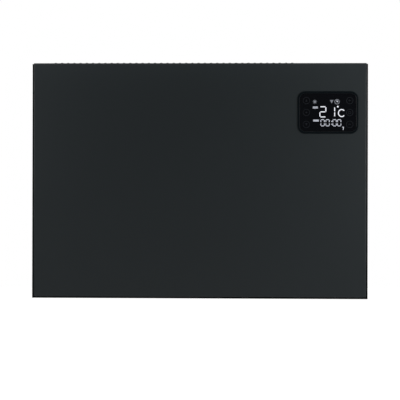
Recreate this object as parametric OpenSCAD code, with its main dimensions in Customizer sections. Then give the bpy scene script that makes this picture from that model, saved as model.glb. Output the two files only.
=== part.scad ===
// Wall-hung panel convector heater. Millimetres, +Z up, +X to the right seen from the front, wall at y = 0.
// The origin is the middle of the wall screw pattern, and the heater stands in front of the wall, towards -Y.

/* [Body] */
// Overall width of the body
body_w = 600; // [590:1:660]
// Overall height of the body, without the outlet ribs
body_h = 421; // [415:1:460]
// Depth from the back sheet's outer face to the front face
body_d = 64; // [64:1:80]
// Space between the wall and the back sheet
wall_gap = 16; // [14:1:24]
// Thickness of the casing's steel sheet
sheet_t = 1; // [0.8:0.1:1.4]
// Running gap between sheets that lie edge to face inside the casing
fit_gap = 0.3; // [0.2:0.1:0.5]

/* [Front panel] */
// Thickness of the front panel
panel_t = 1.5; // [1.2:0.1:2]
// Shadow gap between the panel and the casing's walls
panel_gap = 1.3; // [1:0.1:2]
// Inside radius of the bend along the panel's top edge
top_bend_in = 1; // [0.5:0.1:1.5]
// Inside radius of the bends along the other three edges
side_bend_in = 0.3; // [0.2:0.1:0.8]
// Depth of the lip that lies on the casing's top
lip_d = 12; // [11:1:15]
// Depth of the returns along the sides and the bottom
return_d = 10; // [9:1:12]
// Gap between the casing's top sheet and the panel's bend
roof_gap = 0.5; // [0.4:0.1:1]

/* [Screws] */
// Radius of a screw's shank
screw_r = 1.75; // [1.5:0.05:2]
// Clearance round a shank or a countersunk head
screw_clear = 0.1; // [0.05:0.05:0.2]
// Radius of a countersunk head
csk_r = 3.5; // [3:0.1:4]
// Height of a countersunk head
csk_h = 1.9; // [1.6:0.1:2.2]
// Length of a countersunk screw
csk_len = 7; // [6:0.5:8]
// Radius of a pan head
pan_r = 3.4; // [3:0.1:4]
// Height of a pan head
pan_h = 2.2; // [1.8:0.1:2.6]
// Length of a back screw's shank
back_len = 6.5; // [5:0.5:8]
// Radius of the pressed-in seat round a panel screw
seat_r = 6; // [5:0.5:8]
// Distance of the panel screws from the front face
panel_screw_in = 6; // [5:0.5:6.5]
// Distance between the panel screws up each side
side_screw_pitch = 150; // [120:5:180]
// Distance between the panel screws along the bottom
bottom_screw_pitch = 160; // [120:5:180]
// Distance of the grille screws from a grille's front and back edges
grille_screw_in = 10; // [8:0.5:14]
// Gap between the inlet grille and the seats of the panel screws
seat_gap = 0.5; // [0.3:0.1:1]

/* [Wall brackets] */
// Distance between the two brackets' screw holes
screw_span_x = 300; // [280:10:320]
// Distance between the holes of one bracket
screw_span_z = 200; // [180:10:220]
// Radius of a wall screw hole
wall_hole_r = 3; // [2.5:0.1:4]
// Width of a bracket
bracket_w = 30; // [26:1:34]
// Height of a bracket
bracket_h = 250; // [240:5:280]
// Thickness of a bracket's sheet
bracket_t = 1.5; // [1.2:0.1:2]
// Gap between a bracket's edges and the back sheet
bracket_gap = 0.5; // [0.3:0.1:1]
// Height of the hook seats above and below the middle
hook_z = 70; // [60:1:80]
// Height of a hook's neck
neck_h = 8; // [7:0.5:10]
// Height of a hook's finger above its seat
finger_h = 8; // [6:0.5:9]
// Depth of a hook's finger
finger_d = 2.8; // [2:0.1:3.2]
// Gap between a finger and the back sheet
finger_gap = 0.6; // [0.4:0.1:0.8]
// Slope at the tip of a finger, and depth by which a hook overlaps its bracket
hook_tip = 1; // [0.5:0.1:1.2]
// Height that the heater is lifted to free the hooks
lift = 10; // [9.5:0.5:12]
// Gap on each side of a hook in its slot
slot_side = 0.75; // [0.5:0.05:1.5]
// Gap under a neck when the heater is lifted
slot_under = 1; // [0.5:0.1:2]
// Radius of a rubber bumper at the back sheet
bumper_r = 9; // [7:0.5:11]
// Radius of a bumper's stem
bumper_stem_r = 3; // [2.5:0.1:4]
// Gap between a bumper and the wall
bumper_gap = 0.3; // [0.2:0.1:0.6]
// Distance of the bumpers from the casing's sides
bumper_in_x = 35; // [30:1:36]
// Height of the bumpers above the casing's bottom
bumper_up = 20; // [16:1:20]
// Width and length of the barb that locks a bumper in the back sheet
bumper_barb = 1.2; // [0.8:0.1:1.6]
// Width of the rating plate
plate_w = 90; // [60:5:100]
// Height of the rating plate
plate_h = 50; // [30:5:60]
// Height of the rating plate's middle above the casing's bottom
plate_up = 60; // [50:5:80]
// Thickness of the rating plate
plate_t = 0.3; // [0.2:0.1:0.5]

/* [Grilles] */
// Distance between neighbouring outlet ribs
rib_pitch = 11.2; // [10:0.1:13]
// Width of an outlet rib
rib_w = 6; // [5:0.1:7]
// Height of a rib's crest above the lip
rib_h = 1.8; // [1.2:0.1:2.2]
// Distance from the casing's left side to the middle of the first rib
rib_start = 40; // [38:1:60]
// Gap between the outlet grille and the lip
grille_gap = 0.4; // [0.2:0.1:1]
// Thickness of the inlet grille
inlet_t = 1; // [0.8:0.1:1.5]
// Width of the grille plates' rim at the front and the back of an opening
rim_y = 3; // [2:0.5:4]
// Width of the grille plates' rim at the ends of an opening
rim_x = 10; // [9:0.5:14]
// Width of the bar that halves each slot
slot_bar = 3; // [2:0.5:5]
// Distance between the outlet grille and the casing's back
outlet_back = 2; // [1:0.5:4]
// Distance of the left outlet screws from the first rib
outlet_screw_off = 7; // [6:0.5:9]
// Distance of the right outlet screws from the partition
outlet_screw_past = 3.6; // [3:0.1:5]
// Distance between a grille's slots and the edge of the opening behind them
slot_inset = 0.6; // [0.4:0.1:1]
// Distance between the inlet grille and the partition
inlet_side = 4; // [3:0.5:6]
// Distance between neighbouring vents of the electronics bay
vent_pitch = 9; // [7:0.5:10]
// Width of a bay vent
vent_w = 3; // [2:0.5:4]
// Height of the vents in the back sheet
back_vent_h = 36; // [24:1:40]
// Length of the vents in the bottom
bottom_vent_l = 14; // [10:1:16]
// Distance of the bottom vents from the front face
bottom_vent_in = 16; // [14:1:18]
// Distance of the bottom vents' middle from the bay's middle, to the left
bottom_vent_off = 12.5; // [10:0.5:14]

/* [Display] */
// Width of the display bezel
bezel_w = 108.5; // [104:0.5:112]
// Height of the display bezel
bezel_h = 76; // [72:1:84]
// Corner radius of the display bezel
bezel_r = 14; // [12:0.5:16]
// Width of the bezel's ring
ring_w = 3.8; // [3.5:0.1:5]
// Height of the bezel above the panel
bezel_proud = 1.2; // [0.8:0.1:2]
// Distance of the display's middle from the right side
display_right = 71; // [68:1:72]
// Distance of the display's middle from the top
display_drop = 88.5; // [70:0.5:100]
// Width by which the ring covers the edge of the panel's cut-out
bezel_lap = 2; // [1.5:0.1:2.4]
// Thickness of the display window
window_t = 1.8; // [1.2:0.1:2.5]
// Depth of the window's face below the bezel's face
window_sink = 0.3; // [0.2:0.1:0.6]
// Gap round the window
window_gap = 0.1; // [0.05:0.05:0.2]
// Width of the ledge that carries the window
ledge_w = 2; // [1.5:0.1:2.5]
// Depth of the display board behind the panel's front face
board_in = 8; // [7:0.5:10]
// Depth of the display housing behind the panel's front face
housing_in = 24; // [22:0.5:26]
// Wall thickness of the display housing
housing_t = 2; // [1.5:0.1:2]
// Width of the LED display
led_w = 60; // [50:1:64]
// Height of the LED display
led_h = 50; // [40:1:52]
// Distance of the touch keys' columns from the display's middle
key_x = 38.5; // [38:0.5:40]
// Distance between touch keys in a column
key_pitch = 21.2; // [18:0.2:21.6]
// Radius of a touch pad
key_r = 4.5; // [3:0.5:4.5]
// Distance of the housing's posts from the display's middle, to each side
post_x = 30; // [24:1:34]
// Radius of the housing's posts and of the cord clamp's posts
post_r = 3.2; // [2.8:0.1:3.6]
// Gap between the posts' middles and the window's ledge
post_in = 3.6; // [3.4:0.1:4]
// Gap between the display board and the housing
board_play = 1; // [0.5:0.1:1.5]
// Gap between the LED display and the window
led_gap = 0.1; // [0.05:0.05:0.3]
// Width of the ribbon cable
ribbon_w = 14; // [10:1:16]
// Thickness of the ribbon cable
ribbon_t = 1; // [0.6:0.1:1.2]
// Drop from the display's middle to the ribbon cable
ribbon_drop = 26; // [22:1:28]
// Distance of the ribbon cable's run behind the housing
ribbon_back = 8; // [6:0.5:9]
// Depth of the ribbon's header on the display board
header_d = 6; // [5:0.5:8]
// Height of the ribbon's headers and of the plugs on the power board
header_h = 6; // [5:0.5:8]
// Distance of the radio module's left edge from the display's middle
radio_left = 40; // [36:1:42]
// Width of the radio module's board
radio_w = 24; // [20:1:26]
// Height of the radio module's board
radio_h = 18; // [14:1:20]
// Width and height of the radio module's can, less than its board
radio_rim = 4; // [3:0.5:6]
// Depth of the radio module
radio_d = 3; // [2.5:0.1:4]

/* [Heat chamber] */
// Width of the electronics bay to the right of the partition
bay_w = 127; // [126:0.5:128]
// Width of the partition's foot on the back sheet
foot_w = 12; // [10:0.5:14]
// Distance between the partition's screws
foot_screw_pitch = 160; // [120:5:170]
// Distance from the fins' ends to the sides of the heat chamber
fin_side = 37; // [36:0.5:60]
// Height of the element's middle above the casing's bottom
element_up = 90; // [80:1:120]
// Length of a fin from the element's middle
fin_l = 36; // [30:0.5:37]
// Thickness of a fin
fin_t = 1.8; // [1.4:0.1:2.2]
// Slope of the fins
fin_a = 55; // [54:1:66]
// Distance between the small ribs on a fin
fin_rib_pitch = 6; // [5:0.5:8]
// Width across the small ribs on a fin
fin_rib_w = 6; // [4:0.5:7]
// Thickness of the small ribs on a fin
fin_rib_t = 1; // [0.8:0.1:1.4]
// Radius of the element's hub
hub_r = 8; // [7:0.5:9]
// Radius of the heating rod
rod_r = 4; // [3:0.25:4.5]
// Length of the rod beyond the fins at each end
rod_out = 16; // [14:0.5:18]
// Clearance round the rod
rod_clear = 0.05; // [0.02:0.01:0.1]
// Distance from the fins' end to the element bracket
end_gap = 5; // [4:0.5:7]
// Thickness of an element bracket
end_t = 1.2; // [1:0.1:1.5]
// Height of an element bracket
end_h = 60; // [52:1:70]
// Distance from the element's middle to an element bracket's front edge
end_front = 13; // [11.5:0.5:15]
// Width of an element bracket's foot
end_foot = 14; // [12:0.5:16]
// Distance of an element bracket's screws from its ends
end_screw_in = 10; // [8:0.5:12]
// Radius of an insulator's neck in its bracket
end_hub_r = 7; // [6:0.5:8]
// Width of the insulator's collar, and length of its neck beyond the bracket
end_collar = 4; // [3:0.5:4]
// Length of the ceramic bead at each end of the rod
bead_l = 4; // [3:0.5:6]
// Length of a terminal blade beyond its bead
tab_l = 8; // [6:0.5:10]
// Thickness of the heat shields
shield_t = 0.6; // [0.5:0.1:0.8]
// Gap between a heat shield and the sheet that it protects
shield_gap = 6; // [5:0.5:6]
// Height of the rear heat shield
rear_shield_h = 170; // [150:5:190]
// Height of the front heat shield
front_shield_h = 290; // [240:5:320]
// Height of the front heat shield's lower edge above the casing's bottom
front_shield_up = 20; // [15:1:40]
// Distance of the front heat shield from the casing's side
front_shield_left = 14; // [10:1:20]
// Distance of the front heat shield from the partition
front_shield_right = 6; // [4:1:12]
// Depth of the bent lips along the front heat shield
shield_lip_d = 4; // [2:0.5:6]
// Height of the bent lips along the front heat shield
shield_lip_h = 3; // [2:0.5:5]
// Distance of the rear heat shield's ends from the fins' ends
rear_shield_in = 7; // [4:1:12]
// Height of the rear heat shield's middle above the element's middle
rear_shield_up = 15; // [5:1:20]
// Height of the rear heat shield's feet
shield_foot = 12; // [10:0.5:14]
// Distance of the rear heat shield's screws from its ends
shield_screw_in = 20; // [14:1:30]
// Radius of the front heat shield's spacers
spacer_r = 5; // [4:0.5:6]
// Distance of the spacers from the front heat shield's ends
spacer_in_x = 30; // [20:1:40]
// Distance of the spacers from the front heat shield's upper and lower edges
spacer_in_z = 20; // [14:1:30]
// Radius of the thermal cut-out
cutout_r = 8; // [6:0.5:9]
// Length of the thermal cut-out
cutout_h = 8; // [6:0.5:9]
// Height of the thermal cut-out above the element's middle
cutout_up = 58; // [54:1:70]
// Distance of the thermal cut-out from the partition
cutout_off = 13; // [12:0.5:16]
// Distance of the thermal cut-out from the element's middle, to the front
cutout_fwd = 3; // [0:0.5:4]
// Half of the width of the cut-out bracket's arm
cutout_arm = 11; // [9:0.5:12]
// Width of the cut-out bracket's foot on the partition
cutout_foot = 15; // [12:0.5:16]
// Height of the cut-out bracket
cutout_bracket_h = 24; // [18:1:26]
// Radius of the wire grommet's bore
grommet_r = 5; // [4.5:0.5:6]
// Wall of the grommet and of the probe's bush inside the partition's holes
grommet_wall = 2; // [1.5:0.1:2.5]
// Gap round the grommet and the probe's bush in the partition's holes
grommet_gap = 0.05; // [0.02:0.01:0.1]
// Width of the lips of the grommet and the probe's bush
grommet_lip = 1.5; // [1:0.1:2]
// Thickness of the grommet's lips
grommet_side = 2; // [1.5:0.1:2.5]
// Distance of the grommet from the back sheet
grommet_in = 20; // [16:1:24]
// Height of the grommet above the element's middle
grommet_up = 22; // [18:1:26]
// Radius of the temperature probe
probe_r = 2.5; // [2:0.1:3]
// Length of the temperature probe
probe_len = 24; // [20:1:30]
// Length of the probe beyond the partition, inside the electronics bay
probe_past = 7; // [6.5:0.5:9]
// Thickness of the lips of the probe's bush
probe_side = 4; // [3:0.5:5]
// Distance of the probe from the back sheet
probe_in = 28; // [22:1:32]
// Height of the probe above the casing's bottom sheet
probe_up = 18; // [15:1:20]

/* [Electronics] */
// Width of the power board
board_w = 96; // [92:1:98]
// Height of the power board
board_h = 150; // [146:1:152]
// Thickness of both boards
board_t = 1.6; // [1.2:0.1:2]
// Height of the power board's standoffs
standoff_h = 8; // [6:0.5:10]
// Radius of a small screw's shank
small_r = 1.4; // [1.2:0.05:1.6]
// Distance of the standoffs from the board's edges
standoff_in = 6; // [5:0.5:8]
// Radius of the standoffs
standoff_r = 3.5; // [3:0.1:4]
// Radius of a small screw's head
small_head_r = 2.8; // [2.4:0.1:3.2]
// Height of a small screw's head
small_head_h = 1.8; // [1.4:0.1:2.2]
// Gap between the terminal block and the power board above it
board_gap = 22; // [20:1:26]
// Depth of the transformer
transformer_d = 26; // [20:1:28]
// Width of the transformer's core
transformer_w = 34; // [28:1:36]
// Height of the transformer's core
transformer_h = 28; // [24:1:30]
// Distance by which the transformer's coil stands out of its core
coil_out = 5; // [3:0.5:7]
// Width of the transformer's coil
coil_w = 22; // [16:1:24]
// Height of the transformer's coil
coil_h = 18; // [14:1:22]
// Distance of the transformer's middle from the board's left edge
transformer_left = 26; // [24:1:30]
// Height of the transformer's middle above the board's middle
transformer_up = 28; // [24:1:32]
// Depth of a relay
relay_d = 15.5; // [12:0.5:18]
// Width of a relay
relay_w = 22; // [18:1:26]
// Height of a relay
relay_h = 16; // [12:1:18]
// Distance between the two relays' middles
relay_pitch = 20; // [18:1:24]
// Drop from the board's middle to the middle between the relays
relay_drop = 14; // [12:1:18]
// Distance of the relays from the board's right edge
relay_right = 12; // [10:1:14]
// Height of a capacitor
cap_h = 16; // [12:0.5:20]
// Radius of a capacitor
cap_r = 5; // [4:0.5:6]
// Distance between neighbouring capacitors
cap_pitch = 13; // [12:0.5:15]
// Distance of the capacitors from the board's middle, to the right
cap_right = 10; // [8:1:16]
// Height of the middle capacitor above the board's middle
cap_up = 21; // [18:1:26]
// Depth of the power board's blades and of its ribbon header
plug_d = 9; // [8:0.5:10]
// Depth of the probe's plug
sensor_plug_d = 7; // [6:0.5:8]
// Width of the probe's plug
sensor_plug_w = 8; // [6:0.5:10]
// Distance of the probe's plug from the board's left edge
sensor_left = 10; // [8:0.5:12]
// Height of the probe's plug above the board's lower edge
sensor_up = 40; // [30:1:50]
// Height of the blades above the board's lower edge
tab_up = 10; // [8:0.5:14]
// Drop from the board's upper edge to the ribbon's header
ribbon_in = 10; // [8:0.5:14]
// Width of a terminal blade
blade_w = 6.3; // [4.8:0.1:6.3]
// Thickness of a terminal blade
blade_t = 0.8; // [0.5:0.1:1]
// Length of a terminal blade
blade_l = 8; // [6:0.5:9]
// Radius of a lead
lead_r = 1.4; // [1:0.1:1.6]
// Radius of the probe's lead
thin_lead_r = 1; // [0.8:0.1:1.2]

/* [Switches and mains side] */
// Distance of the rocker switch from the back sheet's outer face
rocker_in = 16; // [15.5:0.5:20]
// Height of the rocker switch above the casing's bottom
rocker_up = 70.5; // [66:0.5:72]
// Width of the rocker
rocker_w = 18; // [16:0.5:19]
// Radius of the rocker's ends about its pivot
rocker_r = 11.6; // [11:0.1:12]
// Gap round the rocker
rocker_gap = 0.4; // [0.3:0.1:0.6]
// Half of the rocker's travel
rocker_a = 7; // [5:0.5:8]
// Thickness of the switch's flange
switch_flange = 1.2; // [1:0.1:1.6]
// Radius of the rocker's pivot pins
pivot_r = 1.5; // [1.2:0.1:1.8]
// Running clearance of the rocker's pins and of the pendulum
pivot_clear = 0.06; // [0.04:0.01:0.1]
// Depth of the rocker's pivot inside the casing's side
pivot_in = 3; // [2.5:0.1:3.5]
// Depth of the rocker's face below the flange at its middle
rocker_sink = 0.2; // [0.1:0.1:0.5]
// Gap between the rocker's sides and its window
rocker_side = 0.3; // [0.2:0.1:0.5]
// Length and thickness of the rocker's tongue behind its pivot
rocker_tongue = 3; // [2:0.5:4]
// Depth of the switch body inside the casing
switch_d = 22; // [20:0.5:24]
// Wall thickness of the switch body
switch_wall = 2; // [1.6:0.1:2.4]
// Width by which the switch's flange laps the casing
flange_lap = 2.6; // [2:0.1:3]
// Depth of the rocker's chamber behind its pivot
cavity_d = 11; // [10:0.5:13]
// Distance of the switch's blades from its middle
switch_tab_u = 6; // [5:0.5:8]
// Radius of the bore for the mains cord
cord_r = 3.6; // [3:0.1:4]
// Distance of the cord's bore from the right side
cord_right = 38; // [36:1:40]
// Distance of the cord's bore from the back sheet's outer face
cord_in = 12; // [11:0.5:14]
// Radius of the cord bush's flange
bush_r = 9; // [8:0.5:10]
// Thickness of the cord bush's flange
bush_flange = 2.4; // [1.5:0.1:2.6]
// Length of the cord bush inside the casing
bush_len = 12; // [10:0.5:14]
// Width by which the bush's flange laps the casing
bush_lap = 2; // [1.5:0.1:2.5]
// Width by which the bush's barb laps the casing on the inside
bush_barb = 0.8; // [0.6:0.1:1.2]
// Gap between the cord bush and the cord clamp
clamp_up = 14; // [10:1:16]
// Width of the cord clamp
clamp_w = 30; // [28:1:34]
// Height of the cord clamp
clamp_h = 10; // [8:0.5:12]
// Thickness of the cord clamp's bar
clamp_bar = 4; // [3:0.5:5]
// Gap between the cord's bore and the jaws of the clamp
clamp_gap = 0.1; // [0.05:0.05:0.3]
// Distance of the clamp's screws from the cord
clamp_screw_x = 10; // [9:0.5:11]
// Length by which the clamp's posts enter its jaws
clamp_joint = 0.4; // [0.2:0.1:0.6]
// Thickness of the clamp's floor under its screw holes
clamp_floor = 0.8; // [0.5:0.1:1.2]
// Gap between the partition's foot and the terminal block
block_side = 2; // [1:0.5:3]
// Width of the terminal block
block_w = 40; // [38:1:46]
// Height of the terminal block
block_h = 22; // [18:1:24]
// Depth of the terminal block
block_d = 18; // [16:1:20]
// Distance between the terminals
block_pitch = 13; // [12:0.5:14]
// Width of a terminal's housing
block_post = 11; // [9:0.5:12]
// Radius of the holes over the terminals' screws
block_screw_r = 2.5; // [2:0.1:3]
// Radius of the holes for the cord's cores
block_core_r = 2; // [1.6:0.1:2.4]
// Distance of the cores' holes from the back sheet
block_core_in = 11; // [9.5:0.5:12]
// Gap between the tilt switch and the terminal block above it
block_gap = 22.5; // [20:0.5:24]
// Distance of the earth stud from the partition
stud_off = 64; // [60:1:68]
// Drop from the terminal block's upper face to the earth stud
stud_drop = 40; // [36:1:44]
// Radius of the earth stud
stud_r = 2; // [1.6:0.1:2.5]
// Length of the earth stud inside the casing
stud_l = 14; // [12:0.5:16]
// Thickness of the earth stud's collar under the tongue
collar_l = 3; // [2:0.5:4]
// Width of the earth stud's head and collar beyond its shank
stud_lap = 2; // [1.5:0.1:2.5]
// Height of the earth stud's head
stud_head = 1.5; // [1:0.1:2]
// Thickness of the earth tongue
tongue_t = 0.8; // [0.6:0.1:1]
// Radius of the earth tongue's ring
tongue_r = 4.5; // [4:0.1:5]
// Height of the earth nut
nut_h = 3.2; // [2.4:0.1:4]
// Radius of the earth nut over its corners
nut_r = 4.04; // [3.6:0.01:4.6]
// Height of the tilt switch above the casing's bottom
tilt_up = 4; // [2:0.5:6]
// Width of the tilt switch housing
tilt_w = 26; // [22:1:28]
// Depth of the tilt switch housing
tilt_d = 36; // [34:0.5:40]
// Distance from the pendulum's pivot to the middle of its weight
swing_l = 22; // [20:0.5:24]
// Radius of the pendulum's weight
weight_r = 7; // [6:0.5:8]
// Radius of the pendulum's pin
pin_r = 1.5; // [1.2:0.1:1.8]
// Width of the pendulum's weight
weight_w = 14; // [12:0.5:16]
// Radius of the pendulum's hub
swing_hub_r = 4; // [3.5:0.1:5]
// Half of the width of the pendulum's arm
swing_arm = 3; // [2:0.5:4]
// Wall thickness of the tilt switch housing
tilt_wall = 2; // [1.5:0.1:2.5]
// Gap under the pendulum's weight
swing_gap = 2; // [1.5:0.1:3]
// Height of the tilt switch housing above the pendulum's pivot
tilt_head = 9; // [8:0.5:11]
// Drop from the top of the tilt switch housing to its screw
tilt_screw_in = 4.5; // [4:0.1:5.5]
// Thickness of the tilt switch cover
cover_t = 1.5; // [1:0.1:2]
// Radius of the reed switch
reed_r = 1.3; // [1:0.1:1.5]
// Length of the reed switch
reed_l = 16; // [12:1:20]
// Gap round the reed switch and at its ends
reed_gap = 0.1; // [0.05:0.05:0.2]

/* [Hidden] */

// Faces of the casing
x_out = body_w / 2;
x_in = x_out - sheet_t;
z_out = body_h / 2;
z_floor = sheet_t - z_out;
z_case = z_out - panel_t;
z_roof = z_case - sheet_t;
y_back = -wall_gap;
y_in = y_back - sheet_t;
y_front = y_back - body_d;
y_panel = y_front + panel_t;

// Outer faces of the front panel, and its bends
panel_x = x_in - panel_gap;
panel_z = z_floor + panel_gap;
top_bend = panel_t + top_bend_in;
side_bend = panel_t + side_bend_in;
y_lip = y_front + lip_d;
y_return = y_front + return_d;
y_roof = y_front + top_bend + roof_gap;
y_panel_screw = y_front + panel_screw_in;

// Partition, between its left and right faces
part_x1 = x_in - bay_w;
part_x0 = part_x1 - sheet_t;

// Outlet and inlet
zone_x0 = rib_start - x_out - rib_w / 2 - rim_y;
rib_count = floor((part_x0 - zone_x0 - rim_y - rib_w) / rib_pitch) + 1;
rib_x0 = rib_start - x_out;
rib_x1 = rib_x0 + (rib_count - 1) * rib_pitch;
outlet_y0 = y_lip + grille_gap;
outlet_y1 = y_back - outlet_back;
inlet_y0 = y_panel_screw + seat_r + seat_gap;
inlet_y1 = y_in - fit_gap;
inlet_x1 = part_x0 - inlet_side;
outlet_screw_x0 = rib_x0 - rib_w / 2 - outlet_screw_off;
outlet_screw_x1 = part_x1 + outlet_screw_past;

// Display
dx = x_out - display_right;
dz = z_out - display_drop;
cut_w = bezel_w - 2 * bezel_lap;
cut_h = bezel_h - 2 * bezel_lap;
cut_r = bezel_r - bezel_lap;
window_w = bezel_w - 2 * ring_w - 2 * window_gap;
window_h = bezel_h - 2 * ring_w - 2 * window_gap;
window_r = bezel_r - ring_w - window_gap;
y_bezel = y_front - bezel_proud;
y_window = y_bezel + window_sink;
y_ledge = y_window + window_t;
y_board = y_front + board_in;
y_sleeve = y_board - 1;
y_housing = y_front + housing_in;
post_z = window_h / 2 - ledge_w - post_in;
small_hole_r = small_r + screw_clear;
ribbon_z = dz - ribbon_drop;

// Heating element and shields
el_x0 = fin_side - x_in;
el_x1 = part_x0 - fin_side;
el_z = element_up - z_out;
y_rear_shield = y_in - shield_gap - shield_t;
y_front_shield = y_panel + shield_gap + shield_t;
el_y = (y_rear_shield + y_front_shield) / 2;
end_hole_r = end_hub_r + screw_clear;
rear_shield_x0 = el_x0 + rear_shield_in;
rear_shield_x1 = el_x1 - rear_shield_in;
rear_shield_z0 = el_z + rear_shield_up - rear_shield_h / 2;
rear_shield_z1 = rear_shield_z0 + rear_shield_h;
front_shield_x0 = front_shield_left - x_in;
front_shield_x1 = part_x0 - front_shield_right;
front_shield_z0 = front_shield_up - z_out;
front_shield_z1 = front_shield_z0 + front_shield_h;

// Thermal cut-out on its bracket, which stands on the partition
cutout_z = el_z + cutout_up;
cutout_x = part_x0 - cutout_off;
cutout_y = el_y - cutout_fwd;

// Wire grommet and probe in the partition
grommet_y = y_in - grommet_in;
grommet_z = el_z + grommet_up;
probe_y = y_in - probe_in;
probe_z = z_floor + probe_up;
probe_x = part_x1 + probe_past;

// Tilt switch on the casing's bottom
tx = part_x1 + foot_w + 1 + tilt_w / 2;
tz0 = z_floor + tilt_up;
ty0 = y_in - tilt_d;
pivot_y = y_in - tilt_d / 2;
pivot_z = tz0 + tilt_wall * 2 + swing_gap + weight_r + swing_l;
tz1 = pivot_z + tilt_head;
reed_z = tz0 + 2 * reed_gap;

// Terminal block above the tilt switch, and the power board above the terminal block
tb_x0 = part_x1 + foot_w + block_side;
tb_z1 = tz1 + block_gap + block_h;
pb_x = (part_x1 + x_in) / 2;
pb_x0 = pb_x - board_w / 2;
pb_x1 = pb_x + board_w / 2;
pb_z0 = tb_z1 + board_gap;
pb_z1 = pb_z0 + board_h;
pb_z = pb_z0 + board_h / 2;
y_pb_back = y_in - standoff_h;
y_pb = y_pb_back - board_t;
ribbon_end_z = pb_z1 - ribbon_in;
tab_z = pb_z0 + tab_up;
tab_xs = [for (x = [12, 32, 48, 64]) pb_x0 + x];
sensor_x = pb_x0 + sensor_left;
sensor_z = pb_z0 + sensor_up;

// Earth stud, and the middles of the terminals
stud_x = part_x1 + stud_off;
stud_z = tb_z1 - stud_drop;
tongue_y = y_in - collar_l;
tb_xs = [for (i = [-1:1]) tb_x0 + block_w / 2 + i * block_pitch];
y_core = y_in - block_core_in;

// Rocker switch
ry = y_back - rocker_in;
rz = rocker_up - z_out;
rx = x_out - pivot_in;
face_u = pivot_in + switch_flange - rocker_sink;
window_y = rocker_w / 2 + rocker_side;
window_u = rocker_r + rocker_gap;
body_y = window_y + switch_wall;
body_u = window_u + switch_wall;
switch_x = x_out - switch_d;

// Cord bush and clamp
cx = x_out - cord_right;
cy = y_back - cord_in;
bush_neck_r = bush_r - bush_lap;
clamp_z = z_floor + bush_len + clamp_up;

// A point turned round each of these axes carries a screw's own +Z out of the sheet
to_right = [0, 90, 0];
to_left = [0, -90, 0];
to_bottom = [180, 0, 0];
to_back = [-90, 0, 0];
to_front = [90, 0, 0];

panel_screw_places = concat(
    [for (i = [-1:1]) [[x_out, y_panel_screw, i * side_screw_pitch], to_right]],
    [for (i = [-1:1]) [[-x_out, y_panel_screw, i * side_screw_pitch], to_left]],
    [for (i = [-1.5:1.5]) [[i * bottom_screw_pitch, y_panel_screw, -z_out], to_bottom]]
);
outlet_screw_places = [for (x = [outlet_screw_x0, outlet_screw_x1],
                            y = [outlet_y0 + grille_screw_in, outlet_y1 - grille_screw_in])
                       [[x, y, z_case + panel_t], [0, 0, 0]]];
inlet_screw_places = [for (x = [zone_x0 + rim_x / 2, inlet_x1 - rim_x / 2],
                           y = [inlet_y0 + grille_screw_in, inlet_y1 - grille_screw_in])
                      [[x, y, -z_out], to_bottom]];
partition_holes = [for (i = [-1:1]) [part_x1 + foot_w / 2, i * foot_screw_pitch]];
element_holes = [for (x = [el_x0 - end_gap - end_t - end_foot / 2, el_x1 + end_gap + end_t + end_foot / 2],
                      s = [-1, 1]) [x, el_z + s * (end_h / 2 - end_screw_in)]];
shield_holes = [for (x = [rear_shield_x0 + shield_screw_in, (rear_shield_x0 + rear_shield_x1) / 2,
                          rear_shield_x1 - shield_screw_in],
                     z = [rear_shield_z0 + shield_foot / 2, rear_shield_z1 - shield_foot / 2]) [x, z]];
block_holes = [for (s = [-1, 1]) [tb_x0 + block_w / 2 + s * block_pitch / 2, tb_z1 - block_h / 2]];
tilt_holes = [[tx, tz1 - tilt_screw_in]];
back_places = [for (h = concat(partition_holes, element_holes, shield_holes, block_holes, tilt_holes))
               [[h.x, y_back, h.y], to_back]];
standoff_places = [for (x = [pb_x0 + standoff_in, pb_x1 - standoff_in],
                        z = [pb_z0 + standoff_in, pb_z1 - standoff_in]) [x, z]];
post_places = [for (x = [-post_x, post_x], z = [-post_z, post_z]) [dx + x, dz + z]];
key_places = [for (x = [-key_x, key_x], i = [-1:1]) [dx + x, dz + i * key_pitch]];
bumper_places = [for (s = [-1, 1]) [s * (x_out - bumper_in_x), bumper_up - z_out]];
spacer_places = [for (x = [front_shield_x0 + spacer_in_x, (front_shield_x0 + front_shield_x1) / 2,
                           front_shield_x1 - spacer_in_x],
                      z = [front_shield_z0 + spacer_in_z, front_shield_z1 - spacer_in_z]) [x, z]];

// Routes of the inner leads, from terminal to terminal
grommet_x = part_x0 - 4;
term_x1 = el_x1 + rod_out + bead_l + tab_l;
term_x0 = el_x0 - rod_out - bead_l - tab_l;
blade_top = cutout_z + cutout_r + blade_l;
blade_low = cutout_z - cutout_r - blade_l;
cutout_mid = cutout_x - cutout_h / 2;
low_z = el_z - 44;
lead_near_term = [[term_x1, el_y, el_z], [term_x1 + 5, el_y, el_z], [cutout_mid, cutout_y, el_z + 14],
                  [cutout_mid, cutout_y, blade_low - 6], [cutout_mid, cutout_y, blade_low]];
lead_cutout = [[cutout_mid, cutout_y, blade_top], [cutout_mid, cutout_y, blade_top + 10],
               [cutout_x - 4, y_in - 18, blade_top + 10], [cutout_x - 2, y_in - 10, cutout_z - 10],
               [grommet_x - 4, grommet_y - 2.2, grommet_z], [part_x1 + 12, grommet_y - 2.2, grommet_z],
               [tab_xs[0], y_pb - 26, grommet_z + 2], [tab_xs[0], y_pb - 20, tab_z], [tab_xs[0], y_pb - 9, tab_z]];
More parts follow.
